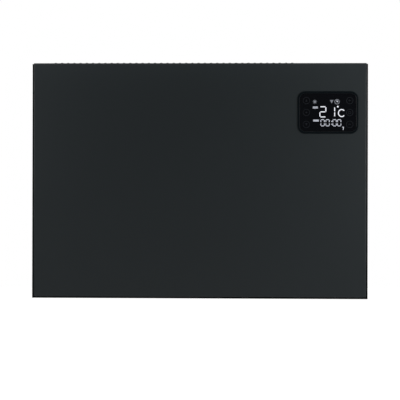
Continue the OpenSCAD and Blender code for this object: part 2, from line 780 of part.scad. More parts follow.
lead_far_term = [[term_x0, el_y, el_z], [term_x0 - 4, el_y, el_z], [term_x0 - 4, el_y + 6, el_z - 30],
                 [term_x0, y_in - 3.2, low_z], [el_x0, y_in - 3.2, low_z], [el_x1, y_in - 3.2, low_z],
                 [grommet_x - 10, y_in - 3.2, low_z + 6], [grommet_x - 6, y_in - 10, grommet_z - 24],
                 [grommet_x - 4, grommet_y + 2.2, grommet_z], [part_x1 + 14, grommet_y + 2.2, grommet_z],
                 [tab_xs[1], y_pb - 30, grommet_z - 4], [tab_xs[1], y_pb - 22, tab_z], [tab_xs[1], y_pb - 9, tab_z]];
switch_tab_x = switch_x - blade_l;
lead_live = [[tb_xs[0], y_core, tb_z1], [tb_xs[0], y_core, tb_z1 + 8], [tb_x0 + 16, y_in - 34, tb_z1 + 5],
             [tb_x0 + 58, y_in - 36, tb_z1 + 2], [switch_tab_x - 16, y_in - 22, rz + switch_tab_u],
             [switch_tab_x - 8, ry, rz + switch_tab_u], [switch_tab_x, ry, rz + switch_tab_u]];
lead_switched = [[switch_tab_x, ry, rz - switch_tab_u], [switch_tab_x - 10, ry, rz - switch_tab_u],
                 [switch_tab_x - 14, ry - 12, rz], [switch_tab_x - 5, y_pb - 24, tb_z1],
                 [switch_tab_x - 7, y_pb - 22, tab_z - 4], [tab_xs[3], y_pb - 19, tab_z],
                 [tab_xs[3], y_pb - 9, tab_z]];
lead_neutral = [[tb_xs[1], y_core, tb_z1], [tb_xs[1], y_core, tb_z1 + 9],
                [tab_xs[2] - 4, y_pb - 18, tb_z1 + 14], [tab_xs[2], y_pb - 18, tab_z],
                [tab_xs[2], y_pb - 9, tab_z]];
earth_route = [[tb_xs[2], y_core, tb_z1], [tb_xs[2], y_core, tb_z1 + 7],
               [tb_x0 + block_w + 5, y_core, tb_z1 + 7], [stud_x + 2, y_in - 8, tb_z1 - 12],
               [stud_x, tongue_y - 0.6, stud_z + 20], [stud_x, tongue_y - 0.6, stud_z + 5.5]];
sensor_route = [[probe_x, probe_y, probe_z], [probe_x + 5, probe_y, probe_z],
                [part_x1 + 9, probe_y - 14, probe_z + 20], [part_x1 + 7, y_in - 40, pb_z0 - 30],
                [part_x1 + 9, y_in - 34, sensor_z - 20], [sensor_x, y_pb - 16, sensor_z],
                [sensor_x, y_pb - 7, sensor_z]];

// Points of an arc about c, from angle a0 to angle a1
function arc(c, r, a0, a1, n = 6) =
    [for (i = [0:n]) c + r * [cos(a0 + (a1 - a0) * i / n), sin(a0 + (a1 - a0) * i / n)]];

// Points of a rectangle with round corners about c
function round_rect(c, w, h, r, n = 8) = concat(
    arc(c + [w / 2 - r, h / 2 - r], r, 0, 90, n), arc(c + [r - w / 2, h / 2 - r], r, 90, 180, n),
    arc(c + [r - w / 2, r - h / 2], r, 180, 270, n), arc(c + [w / 2 - r, r - h / 2], r, 270, 360, n));

// A bent sheet's section: the line p, and the same line moved to its left by t
function unit(v) = v / norm(v);
function left_of(a, b) = let (d = unit(b - a)) [-d.y, d.x];
function moved(p, i, t) =
    i == 0 ? p[0] + t * left_of(p[0], p[1]) :
    i == len(p) - 1 ? p[i] + t * left_of(p[i - 1], p[i]) :
    let (m = left_of(p[i - 1], p[i]), n = left_of(p[i], p[i + 1])) p[i] + t * (m + n) / (1 + m * n);
function strip(p, t) = concat(p, [for (i = [len(p) - 1:-1:0]) moved(p, i, t)]);

// A line with its corners cut n times, which rounds it and keeps its ends
function smooth(p, n = 2) = n == 0 ? p : smooth(concat([p[0]],
    [for (i = [0:len(p) - 2]) each [0.75 * p[i] + 0.25 * p[i + 1], 0.25 * p[i] + 0.75 * p[i + 1]]],
    [p[len(p) - 1]]), n - 1);

// Directions along a line, and a side direction that is carried along it without twisting
function tangents(p) = [for (i = [0:len(p) - 1]) unit(p[min(i + 1, len(p) - 1)] - p[max(i - 1, 0)])];
function sides(t, i, s) =
    i == len(t) ? [] : let (m = unit(s - (s * t[i]) * t[i])) concat([m], sides(t, i + 1, m));

// Prisms: a section in the other two axes, carried along X or Y
module x_prism(x0, x1) translate([x0, 0, 0]) rotate([90, 0, 90]) linear_extrude(x1 - x0) children();
module y_prism(y0, y1) translate([0, y1, 0]) rotate([90, 0, 0]) linear_extrude(y1 - y0) children();

module block(x, y, z) translate([x[0], y[0], z[0]]) cube([x[1] - x[0], y[1] - y[0], z[1] - z[0]]);

module place(p) translate(p[0]) rotate(p[1]) children();

module rod_x(x0, x1, r) translate([x0, 0, 0]) rotate([0, 90, 0]) cylinder(r = r, h = x1 - x0, $fn = 48);
module rod_y(y0, y1, r) translate([0, y0, 0]) rotate([-90, 0, 0]) cylinder(r = r, h = y1 - y0, $fn = 48);

// A round tube that follows a line of points, smoothed
module lead(route, r = lead_r) {
    n = 8;
    p = smooth(route);
    t = tangents(p);
    s = sides(t, 0, abs(t[0].z) < 0.9 ? [0, 0, 1] : [1, 0, 0]);
    last = len(p) - 1;
    polyhedron(
        [for (i = [0:last], j = [0:n - 1])
            p[i] + r * (cos(360 * j / n) * s[i] + sin(360 * j / n) * cross(t[i], s[i]))],
        concat(
            [[for (j = [0:n - 1]) j], [for (j = [n - 1:-1:0]) last * n + j]],
            [for (i = [0:last - 1], j = [0:n - 1]) [i * n + j, (i + 1) * n + j, (i + 1) * n + (j + 1) % n]],
            [for (i = [0:last - 1], j = [0:n - 1]) [i * n + j, (i + 1) * n + (j + 1) % n, i * n + (j + 1) % n]]
        )
    );
}

// Screws stand on z = 0 with the shank below, and their holes are cut by the same places
module cross_recess(r, depth) for (a = [0, 90]) rotate(a)
    translate([-r, -r / 4, -depth]) cube([2 * r, r / 2, depth + 1]);

module csk_screw() difference() {
    union() {
        translate([0, 0, -csk_len]) cylinder(r = screw_r, h = csk_len - csk_h, $fn = 24);
        translate([0, 0, -csk_h]) cylinder(r1 = screw_r, r2 = csk_r, h = csk_h, $fn = 32);
    }
    cross_recess(csk_r * 0.55, csk_h * 0.6);
}

module csk_hole() {
    translate([0, 0, -csk_len - 3]) cylinder(r = screw_r + screw_clear, h = csk_len + 4, $fn = 32);
    translate([0, 0, -csk_h]) cylinder(r1 = screw_r + screw_clear, r2 = csk_r + screw_clear, h = csk_h, $fn = 32);
    cylinder(r = csk_r + screw_clear, h = 1, $fn = 32);
}

module pan_screw(shank, length, head, height) difference() {
    union() {
        translate([0, 0, -length]) cylinder(r = shank, h = length + height / 2, $fn = 24);
        cylinder(r1 = head, r2 = head * 0.8, h = height, $fn = 32);
    }
    translate([0, 0, height]) cross_recess(head * 0.55, height * 0.5);
}

module pan_hole(r, length) translate([0, 0, -length]) cylinder(r = r, h = length + 1, $fn = 32);

module back_holes(places) for (h = places) translate([h.x, y_back, h.y]) rotate(to_back)
    pan_hole(screw_r + screw_clear, sheet_t + back_len + fit_gap);

// Wall brackets
module hook() polygon([
    [y_back + bracket_gap + hook_tip, -neck_h], [y_in - finger_gap - finger_d, -neck_h],
    [y_in - finger_gap - finger_d, finger_h - hook_tip], [y_in - finger_gap - finger_d + hook_tip, finger_h],
    [y_in - finger_gap, finger_h], [y_in - finger_gap, 0], [y_back + bracket_gap + hook_tip, 0]]);

module wall_bracket(x) difference() {
    union() {
        block([x - bracket_w / 2, x + bracket_w / 2], [-bracket_t, 0], [-bracket_h / 2, bracket_h / 2]);
        for (s = [-1, 1]) translate([x + s * (bracket_w - bracket_t) / 2, 0, 0]) {
            block([-bracket_t / 2, bracket_t / 2], [y_back + bracket_gap, 0], [-bracket_h / 2, bracket_h / 2]);
            for (z = [-hook_z, hook_z]) translate([0, 0, z]) x_prism(-bracket_t / 2, bracket_t / 2) hook();
        }
    }
    for (z = [-screw_span_z / 2, screw_span_z / 2])
        translate([x, 0, z]) rod_y(-2 * bracket_t, bracket_t, wall_hole_r);
}

module wall_bracket_left() color("#2a2c2f") wall_bracket(-screw_span_x / 2);
module wall_bracket_right() color("#2a2c2f") wall_bracket(screw_span_x / 2);

// Casing: a tray with cut-outs for the grilles, slots for the hooks and pressed-in seats for the panel screws
module casing_walls() {
    block([-x_out, x_out], [y_in, y_back], [-z_out, z_case]);
    for (x = [-x_out, x_in]) block([x, x + sheet_t], [y_front, y_back], [-z_out, z_case]);
    block([-x_out, x_out], [y_front, y_back], [-z_out, z_floor]);
    block([-x_out, x_out], [y_roof, y_back], [z_roof, z_case]);
}

module hook_slots() {
    w = bracket_t + 2 * slot_side;
    h = neck_h + lift + slot_under;
    for (x = [-1, 1], s = [-1, 1], z = [-hook_z, hook_z])
        translate([x * screw_span_x / 2 + s * (bracket_w - bracket_t) / 2, 0, z])
            block([-w / 2, w / 2], [y_in - 1, y_back + 1], [-h, 0]);
}

module bay_vents() {
    for (i = [-2.5:2.5]) let (x = pb_x + i * vent_pitch) block([x - vent_w / 2, x + vent_w / 2],
        [y_in - 1, y_back + 1], [dz - back_vent_h / 2, dz + back_vent_h / 2]);
    for (i = [-2:2]) let (x = pb_x - bottom_vent_off + i * vent_pitch) block([x - vent_w / 2, x + vent_w / 2],
        [y_front + bottom_vent_in, y_front + bottom_vent_in + bottom_vent_l], [-z_out - 1, z_floor + 1]);
}

module rear_casing() color("#1a1b1d") difference() {
    union() {
        casing_walls();
        for (p = panel_screw_places) place(p) translate([0, 0, -sheet_t - panel_gap])
            cylinder(r = seat_r, h = panel_gap + sheet_t / 2, $fn = 48);
    }
    hook_slots();
    bay_vents();
    block([rib_x0 - rib_w / 2, rib_x1 + rib_w / 2], [outlet_y0 + rim_y, outlet_y1 - rim_y], [z_roof - 1, z_case + 1]);
    block([zone_x0 + rim_x, inlet_x1 - rim_x], [inlet_y0 + rim_y, inlet_y1 - rim_y], [-z_out - 1, z_floor + 1]);
    for (p = concat(panel_screw_places, outlet_screw_places, inlet_screw_places)) place(p) csk_hole();
    for (p = back_places) place(p) pan_hole(screw_r + screw_clear, sheet_t + 1);
    for (h = bumper_places) translate([h.x, 0, h.y]) rod_y(y_in - 1, y_back + 1, bumper_stem_r + screw_clear);
    block([x_in - 1, x_out + 1], [ry - body_y - fit_gap, ry + body_y + fit_gap],
          [rz - body_u - fit_gap, rz + body_u + fit_gap]);
    translate([cx, cy, -z_out - 1]) cylinder(r = bush_neck_r + screw_clear, h = sheet_t + 2, $fn = 64);
    translate([stud_x, 0, stud_z]) rod_y(y_in - 1, y_back + 1, stud_r + screw_clear);
}

// Front panel: the solid that fills its folded form, shrunk on the front and on every fold by inset
module pan(inset, depth) intersection() {
    x_prism(-panel_x, panel_x) polygon(concat(
        [[y_front + depth, panel_z + inset]],
        arc([y_front + side_bend, panel_z + side_bend], side_bend - inset, 270, 180),
        arc([y_front + top_bend, z_out - top_bend], top_bend - inset, 180, 90, 10),
        [[y_front + depth, z_out - inset]]));
    translate([0, 0, -z_out]) linear_extrude(body_h) polygon(concat(
        [[inset - panel_x, y_front + depth]],
        arc([side_bend - panel_x, y_front + side_bend], side_bend - inset, 180, 270),
        arc([panel_x - side_bend, y_front + side_bend], side_bend - inset, 270, 360),
        [[panel_x - inset, y_front + depth]]));
}

module front_panel() color("#25292a") difference() {
    pan(0, lip_d);
    pan(panel_t, lip_d + 1);
    block([-x_out, x_out], [y_return, y_lip + 1], [-z_out, z_roof]);
    block([-x_out, x_out], [y_roof - fit_gap, y_lip + 1], [z_roof - fit_gap, z_case]);
    y_prism(y_front - 1, y_panel + 1) polygon(round_rect([dx, dz], cut_w, cut_h, cut_r));
    for (p = panel_screw_places) place(p) csk_hole();
}

// Outlet grille: a plate behind the lip, with raised round ribs and a slot between each two
module rib(x) translate([x, 0, z_case + panel_t]) rotate([90, 0, 0])
    translate([0, 0, -outlet_y1 + 1]) linear_extrude(outlet_y1 - outlet_y0 - 2) polygon(concat(
        [[-rib_w / 2, -panel_t / 2]],
        [for (i = [0:8]) let (a = 180 - 22.5 * i) [rib_w / 2 * cos(a), rib_h * pow(sin(a), 0.8)]],
        [[rib_w / 2, -panel_t / 2]]));

module slot_pair(x, y0, y1, z0, z1) {
    w = rib_pitch - rib_w;
    for (y = [[y0, (y0 + y1 - slot_bar) / 2], [(y0 + y1 + slot_bar) / 2, y1]])
        block([x - w / 2, x + w / 2], y, [z0 - 1, z1 + 1]);
}

module outlet_grille() color("#191a1c") difference() {
    union() {
        block([outlet_screw_x0 - rim_x / 2, outlet_screw_x1 + rim_x / 2], [outlet_y0, outlet_y1],
              [z_case, z_case + panel_t]);
        for (i = [0:rib_count - 1]) rib(rib_x0 + i * rib_pitch);
    }
    for (i = [0:rib_count - 2]) slot_pair(rib_x0 + (i + 0.5) * rib_pitch, outlet_y0 + rim_y + slot_inset,
        outlet_y1 - rim_y - slot_inset, z_case, z_case + panel_t + rib_h);
    for (p = outlet_screw_places) place(p) csk_hole();
}

// Inlet grille: a slotted plate that lies on the casing's bottom
module inlet_grille() {
    x0 = zone_x0;
    x1 = inlet_x1;
    count = floor((x1 - x0 - 2 * rim_x - 2 * slot_inset - rib_pitch + rib_w) / rib_pitch) + 1;
    first = (x0 + x1 - (count - 1) * rib_pitch) / 2;
    color("#191a1c") difference() {
        block([x0, x1], [inlet_y0, inlet_y1], [z_floor, z_floor + inlet_t]);
        for (i = [0:count - 1]) slot_pair(first + i * rib_pitch, inlet_y0 + rim_y + slot_inset,
            inlet_y1 - rim_y - slot_inset, z_floor, z_floor + inlet_t);
        for (p = inlet_screw_places) place(p) csk_hole();
    }
}

module panel_screws() color("#1c1d1f") for (p = panel_screw_places) place(p) csk_screw();

module grille_screws() color("#1c1d1f")
    for (p = concat(outlet_screw_places, inlet_screw_places)) place(p) csk_screw();

module back_screws() color("#b8babd") for (p = back_places) place(p) pan_screw(screw_r, back_len, pan_r, pan_h);

// Rubber bumpers, each snapped into the back sheet by its stem
module wall_bumpers() color("#151515") for (h = bumper_places) translate([h.x, 0, h.y]) {
    translate([0, y_back, 0]) rotate(to_back)
        cylinder(r1 = bumper_r, r2 = bumper_r - bumper_barb, h = wall_gap - bumper_gap, $fn = 48);
    rod_y(y_in - 0.5, y_back + 1, bumper_stem_r);
    rod_y(y_in - 2 * bumper_barb, y_in, bumper_stem_r + bumper_barb);
}

module rating_plate() color("#b9bcbf") y_prism(y_back, y_back + plate_t)
    polygon(round_rect([0, plate_up - z_out], plate_w, plate_h, plate_h / 16));

// Partition between the heat chamber and the electronics, with a foot on the back sheet
module partition_plate() color("#c3c6c8") difference() {
    union() {
        block([part_x0, part_x1], [y_panel + fit_gap, y_in], [z_floor + fit_gap, z_roof - fit_gap]);
        block([part_x0, part_x1 + foot_w], [y_in - sheet_t, y_in], [z_floor + fit_gap, z_roof - fit_gap]);
    }
    block([part_x0 - 1, part_x1 + 1], [y_front, y_return + 1], [-z_out, panel_z + panel_t + fit_gap]);
    back_holes(partition_holes);
    translate([0, grommet_y, grommet_z]) rod_x(part_x0 - 1, part_x1 + 1, grommet_r + grommet_wall);
    translate([0, probe_y, probe_z]) rod_x(part_x0 - 1, part_x1 + 1, probe_r + grommet_wall);
}

module grommet(r_in, r_neck, width) rotate([0, 90, 0]) difference() {
    union() {
        translate([0, 0, -width]) cylinder(r = r_neck + grommet_lip, h = width, $fn = 48);
        translate([0, 0, -width / 2]) cylinder(r = r_neck, h = sheet_t + width, $fn = 48);
        translate([0, 0, sheet_t]) cylinder(r = r_neck + grommet_lip, h = width, $fn = 48);
    }
    translate([0, 0, -width - 1]) cylinder(r = r_in, h = sheet_t + 2 * width + 2, $fn = 48);
}

module wire_grommet() color("#111111") translate([part_x0, grommet_y, grommet_z])
    grommet(grommet_r, grommet_r + grommet_wall - grommet_gap, grommet_side);

module probe_bush() color("#e6e6e2") translate([part_x0, probe_y, probe_z])
    grommet(probe_r + rod_clear, probe_r + grommet_wall - grommet_gap, probe_side);

module temperature_probe() color("#20242c") translate([0, probe_y, probe_z])
    rod_x(probe_x - probe_len, probe_x, probe_r);

// Heat shields: the rear one stands on two feet, the front one hangs on spacers behind the panel
module rear_shield() color("#c9ccce") difference() {
    x_prism(rear_shield_x0, rear_shield_x1) polygon(strip([
        [y_in, rear_shield_z0], [y_in, rear_shield_z0 + shield_foot],
        [y_rear_shield + shield_t, rear_shield_z0 + shield_foot + shield_gap],
        [y_rear_shield + shield_t, rear_shield_z1 - shield_foot - shield_gap],
        [y_in, rear_shield_z1 - shield_foot], [y_in, rear_shield_z1]], shield_t));
    back_holes(shield_holes);
}

module front_shield() color("#c9ccce") x_prism(front_shield_x0, front_shield_x1) polygon(strip([
    [y_front_shield + shield_lip_d, front_shield_z0 - shield_lip_h], [y_front_shield - shield_t, front_shield_z0],
    [y_front_shield - shield_t, front_shield_z1], [y_front_shield + shield_lip_d, front_shield_z1 + shield_lip_h]],
    -shield_t));

module shield_spacers() color("#e8e8e4") for (h = spacer_places) translate([h.x, 0, h.y])
    rod_y(y_panel, y_front_shield - shield_t, spacer_r);

// Heating element: an extruded body with four ribbed fins round a hub, pressed on a sheathed rod
module fin() {
    translate([0, -fin_t / 2]) square([fin_l, fin_t]);
    translate([fin_l, 0]) circle(r = fin_t * 0.8, $fn = 24);
    for (r = [hub_r + fin_rib_pitch:fin_rib_pitch:fin_l - fin_rib_pitch / 2])
        translate([r - fin_rib_t / 2, -fin_rib_w / 2]) square([fin_rib_t, fin_rib_w]);
}

module element_fins() color("#b4b8bb") translate([0, el_y, el_z]) x_prism(el_x0, el_x1) difference() {
    union() {
        circle(r = hub_r, $fn = 64);
        for (a = [fin_a, 180 - fin_a, 180 + fin_a, -fin_a]) rotate(a) fin();
    }
    circle(r = rod_r + rod_clear, $fn = 64);
}

module element_rod() color("#8d8f90") translate([0, el_y, el_z]) rod_x(el_x0 - rod_out, el_x1 + rod_out, rod_r);

module element_insulator(x, s) translate([x, el_y, el_z]) difference() {
    union() {
        rod_x(min(s, s * end_gap), max(s, s * end_gap), end_hub_r + end_collar);
        rod_x(min(s, s * (end_gap + end_t + end_collar)), max(s, s * (end_gap + end_t + end_collar)), end_hub_r);
    }
    rod_x(-rod_out, rod_out, rod_r + rod_clear);
}

module element_insulators() color("#ece9df") {
    element_insulator(el_x0, -1);
    element_insulator(el_x1, 1);
}

module element_terminals() for (s = [-1, 1])
    translate([s > 0 ? el_x1 + rod_out : el_x0 - rod_out, el_y, el_z]) {
    color("#ece9df") rod_x(s > 0 ? 0 : -bead_l, s > 0 ? bead_l : 0, rod_r - 0.4);
    color("#b99b53") block([s > 0 ? bead_l / 2 : -bead_l - tab_l, s > 0 ? bead_l + tab_l : -bead_l / 2],
                           [-blade_t / 2, blade_t / 2], [-blade_w / 2, blade_w / 2]);
}

// An element bracket: a plate across the element's end, with a foot on the back sheet
module element_bracket(x, s) difference() {
    translate([x, 0, el_z - end_h / 2]) mirror([s > 0 ? 0 : 1, 0, 0]) linear_extrude(end_h) polygon([
        [0, el_y - end_front], [end_t, el_y - end_front], [end_t, y_in - end_t], [end_t + end_foot, y_in - end_t],
        [end_t + end_foot, y_in], [0, y_in]]);
    translate([x, el_y, el_z]) rod_x(-2 * end_t, 2 * end_t, end_hole_r);
    back_holes(element_holes);
}

module element_bracket_left() color("#c3c6c8") element_bracket(el_x0 - end_gap, -1);
module element_bracket_right() color("#c3c6c8") element_bracket(el_x1 + end_gap, 1);

// Thermal cut-out, and the bracket that holds it in the warm air
module thermal_cutout() translate([cutout_x, cutout_y, cutout_z]) {
    color("#2b2b2b") rod_x(-cutout_h, 0, cutout_r);
    color("#b9b9b9") for (s = [-1, 1]) block(
        [-cutout_h / 2 - blade_t / 2, -cutout_h / 2 + blade_t / 2], [-blade_w / 2, blade_w / 2],
        [s > 0 ? cutout_r - 1 : -cutout_r - blade_l, s > 0 ? cutout_r + blade_l : 1 - cutout_r]);
}

module cutout_bracket() color("#c3c6c8") translate([0, 0, cutout_z - cutout_bracket_h / 2])
    linear_extrude(cutout_bracket_h) polygon(strip([
        [part_x0, cutout_y + cutout_arm + cutout_foot], [part_x0, cutout_y + cutout_arm],
        [cutout_x + sheet_t, cutout_y + cutout_arm], [cutout_x + sheet_t, cutout_y - cutout_arm]], -sheet_t));

module element_leads() color("#d8d3c4") {
    lead(lead_near_term);
    lead(lead_cutout);
    lead(lead_far_term);
}

// Power board on four standoffs, with its main parts
module power_board() color("#1f5a37") difference() {
    block([pb_x0, pb_x1], [y_pb, y_pb_back], [pb_z0, pb_z1]);
    for (h = standoff_places) translate([h.x, 0, h.y]) rod_y(y_pb - 1, y_pb_back + 1, small_hole_r);
}

module board_standoffs() color("#e6e6e2") for (h = standoff_places) translate([h.x, 0, h.y]) difference() {
    rod_y(y_pb_back, y_in, standoff_r);
    rod_y(y_pb_back - 1, y_in - 1, small_hole_r);
}

module board_screws() color("#b8babd") for (h = standoff_places)
    translate([h.x, y_pb, h.y]) rotate(to_front)
        pan_screw(small_r, board_t + standoff_h - 2, small_head_r, small_head_h);

module transformer() translate([pb_x0 + transformer_left, y_pb, pb_z + transformer_up]) {
    color("#3a3a3a") block([-transformer_w / 2, transformer_w / 2], [coil_out - transformer_d, 0],
                           [-transformer_h / 2, transformer_h / 2]);
    color("#d8b24a") block([-coil_w / 2, coil_w / 2], [-transformer_d, coil_out - transformer_d + 1],
                           [-coil_h / 2, coil_h / 2]);
}

module relays() color("#20365c") for (s = [-1, 1]) let (z = pb_z - relay_drop + s * relay_pitch / 2)
    block([pb_x1 - relay_right - relay_w, pb_x1 - relay_right], [y_pb - relay_d, y_pb],
          [z - relay_h / 2, z + relay_h / 2]);

module capacitors() color("#23272c") for (i = [-1:1])
    translate([pb_x + cap_right, 0, pb_z + cap_up + i * cap_pitch]) rod_y(y_pb - cap_h, y_pb, cap_r);

module board_connectors() {
    color("#e9e7dd") block([dx - ribbon_w / 2 - ledge_w, dx + ribbon_w / 2 + ledge_w], [y_pb - plug_d, y_pb],
                           [ribbon_end_z - header_h / 2, ribbon_end_z + header_h / 2]);
    color("#e9e7dd") block([sensor_x - sensor_plug_w / 2, sensor_x + sensor_plug_w / 2], [y_pb - sensor_plug_d, y_pb],
                           [sensor_z - header_h / 2, sensor_z + header_h / 2]);
    color("#b99b53") for (x = tab_xs) block([x - blade_w / 2, x + blade_w / 2], [y_pb - plug_d, y_pb],
                                            [tab_z - blade_t / 2, tab_z + blade_t / 2]);
}

// Mains side: terminal block, leads, earth stud
module terminal_block() color("#e6e4da") difference() {
    union() {
        block([tb_x0, tb_x0 + block_w], [y_in - block_d / 2, y_in], [tb_z1 - block_h, tb_z1]);
        for (x = tb_xs) block([x - block_post / 2, x + block_post / 2], [y_in - block_d, y_in],
                              [tb_z1 - block_h, tb_z1]);
    }
    for (x = tb_xs) {
        translate([x, 0, tb_z1 - block_h / 2]) rod_y(y_in - block_d - 1, y_in - 2 * block_d / 3, block_screw_r);
        translate([x, y_core, tb_z1 - block_h - 1]) cylinder(r = block_core_r, h = block_h / 3 + 1, $fn = 32);
    }
    back_holes(block_holes);
}

module mains_leads() {
    color("#6a4a2f") lead(lead_live);
    color("#6a4a2f") lead(lead_switched);
    color("#3f6fb0") lead(lead_neutral);
}

module earth_lead() {
    color("#5e9b3c") lead(earth_route);
    color("#b8babd") translate([stud_x, 0, stud_z]) difference() {
        union() {
            rod_y(tongue_y - tongue_t, tongue_y, tongue_r);
            block([-lead_r, lead_r], [tongue_y - tongue_t, tongue_y], [0, tongue_r + stud_r]);
        }
        rod_y(tongue_y - tongue_t - 1, tongue_y + 1, stud_r + screw_clear);
    }
}

module earth_stud() color("#b8babd") translate([stud_x, 0, stud_z]) {
    rod_y(y_in - stud_l, y_back, stud_r);
    rod_y(y_back, y_back + stud_head, stud_r + stud_lap);
    rod_y(tongue_y, y_in, stud_r + stud_lap);
}

module earth_nut() color("#b99b53") translate([stud_x, tongue_y - tongue_t, stud_z])
    rotate(to_front) difference() {
    cylinder(r = nut_r, h = nut_h, $fn = 6);
    translate([0, 0, -1]) cylinder(r = stud_r + screw_clear, h = nut_h + 2, $fn = 32);
}

module sensor_lead() color("#3c3f44") lead(sensor_route, thin_lead_r);

// Display: bezel with a sleeve through the panel, window on its ledge, housing clipped on behind
module display_bezel() color("#14171a") difference() {
    union() {
        y_prism(y_bezel, y_front) polygon(round_rect([dx, dz], bezel_w, bezel_h, bezel_r));
        y_prism(y_front, y_sleeve)
            polygon(round_rect([dx, dz], cut_w - 2 * fit_gap, cut_h - 2 * fit_gap, cut_r - fit_gap));
    }
    y_prism(y_bezel - 1, y_ledge) polygon(round_rect([dx, dz], window_w + 2 * window_gap,
        window_h + 2 * window_gap, window_r + window_gap));
    y_prism(y_bezel, y_sleeve + 1) polygon(round_rect([dx, dz], window_w - 2 * ledge_w, window_h - 2 * ledge_w,
        window_r - ledge_w));
}

module display_window() color("#0b0c10") y_prism(y_window, y_ledge)
    polygon(round_rect([dx, dz], window_w, window_h, window_r));

module display_housing() color("#1d1e20") difference() {
    union() {
        difference() {
            y_prism(y_panel, y_housing) polygon(round_rect([dx, dz], cut_w + 2 * housing_t, cut_h + 2 * housing_t,
                cut_r + housing_t));
            y_prism(y_panel - 1, y_housing - housing_t) polygon(round_rect([dx, dz], cut_w, cut_h, cut_r));
        }
        for (h = post_places) translate([h.x, 0, h.y]) rod_y(y_board + board_t, y_housing - housing_t / 2, post_r);
    }
    for (h = post_places) translate([h.x, 0, h.y]) rod_y(y_board, y_housing - housing_t - 1, small_hole_r);
    block([dx - ribbon_w / 2 - board_play, dx + ribbon_w / 2 + board_play], [y_housing - housing_t - 1, y_housing + 1],
          [ribbon_z - 2 * ribbon_t, ribbon_z + 2 * ribbon_t]);
}

module display_board() difference() {
    union() {
        color("#1c4630") y_prism(y_board, y_board + board_t)
            polygon(round_rect([dx, dz], cut_w - 2 * board_play, cut_h - 2 * board_play, cut_r - board_play));
        color("#e9e7dd") block([dx - ribbon_w / 2 - ledge_w, dx + ribbon_w / 2 + ledge_w],
                               [y_board + board_t / 2, y_board + board_t + header_d],
                               [ribbon_z - header_h / 2, ribbon_z + header_h / 2]);
    }
    for (h = post_places) translate([h.x, 0, h.y]) rod_y(y_board - 1, y_board + board_t + 1, small_hole_r);
}

module led_display() color("#232730") block([dx - led_w / 2, dx + led_w / 2], [y_ledge + led_gap, y_board],
                                            [dz - led_h / 2, dz + led_h / 2]);

module touch_pads() color("#3a3c40") for (h = key_places) translate([h.x, 0, h.y]) rod_y(y_ledge, y_board, key_r);

module radio_module() {
    y0 = y_board + board_t;
    x0 = dx - radio_left;
    color("#24503a") block([x0, x0 + radio_w], [y0, y0 + radio_d / 3], [dz - radio_h / 2, dz + radio_h / 2]);
    color("#b4b6b8") block([x0 + 1.5 * radio_rim, x0 + radio_w - radio_rim / 2], [y0 + radio_d / 6, y0 + radio_d],
                           [dz - (radio_h - radio_rim) / 2, dz + (radio_h - radio_rim) / 2]);
}

module display_screws() color("#b8babd") for (h = post_places) translate([h.x, y_board, h.y]) rotate(to_front)
    pan_screw(small_r, housing_in - board_in - housing_t - 3, small_head_r, small_head_h);

module ribbon_cable() color("#9b9ea3") x_prism(dx - ribbon_w / 2, dx + ribbon_w / 2) polygon(strip([
    [y_board + board_t + header_d, ribbon_z - ribbon_t / 2], [y_housing + ribbon_back, ribbon_z - ribbon_t / 2],
    [y_housing + ribbon_back, ribbon_end_z - ribbon_t / 2], [y_pb - plug_d, ribbon_end_z - ribbon_t / 2]], ribbon_t));

// Rocker switch on the right side wall: u points outwards from the pivot
module switch_housing() color("#161718") difference() {
    union() {
        block([x_out, x_out + switch_flange], [ry - body_y - flange_lap, ry + body_y + flange_lap],
              [rz - body_u - flange_lap, rz + body_u + flange_lap]);
        block([switch_x, x_out + switch_flange / 2], [ry - body_y, ry + body_y], [rz - body_u, rz + body_u]);
        for (s = [-1, 1]) block([switch_x - blade_l, switch_x + 1], [ry - blade_w / 2, ry + blade_w / 2],
            [rz + s * switch_tab_u - blade_t / 2, rz + s * switch_tab_u + blade_t / 2]);
    }
    block([rx - cavity_d, x_out + switch_flange + 1], [ry - window_y, ry + window_y],
          [rz - window_u, rz + window_u]);
    translate([rx, 0, rz]) rod_y(ry - body_y - 1, ry + body_y + 1, pivot_r + pivot_clear);
}

module rocker_section() intersection() {
    circle(r = rocker_r, $fn = 96);
    polygon([[-pivot_in, -rocker_r - 1], [face_u + (rocker_r + 1) * tan(rocker_a), -rocker_r - 1], [face_u, 0],
             [face_u + (rocker_r + 1) * tan(rocker_a), rocker_r + 1], [-pivot_in, rocker_r + 1]]);
}

module power_rocker() color("#101113") translate([rx, ry, rz]) rotate([0, -rocker_a, 0]) {
    y_prism(-rocker_w / 2, rocker_w / 2) rocker_section();
    rod_y(rocker_side - body_y, body_y - rocker_side, pivot_r);
    block([-pivot_in - rocker_tongue, 1 - pivot_in], [-rocker_tongue, rocker_tongue],
          [-rocker_tongue / 2, rocker_tongue / 2]);
}

// Cord bush in the bottom, and the clamp above it
module cord_bush() color("#141414") translate([cx, cy, 0]) difference() {
    union() {
        translate([0, 0, -z_out - bush_flange]) cylinder(r1 = bush_r - 1, r2 = bush_r, h = bush_flange, $fn = 64);
        translate([0, 0, -z_out - 0.5]) cylinder(r = bush_neck_r, h = sheet_t + 1, $fn = 64);
        translate([0, 0, z_floor]) cylinder(r = bush_neck_r + bush_barb, h = bush_len, $fn = 64);
    }
    translate([0, 0, -z_out - bush_flange - 1])
        cylinder(r = cord_r, h = bush_flange + sheet_t + bush_len + 2, $fn = 64);
}

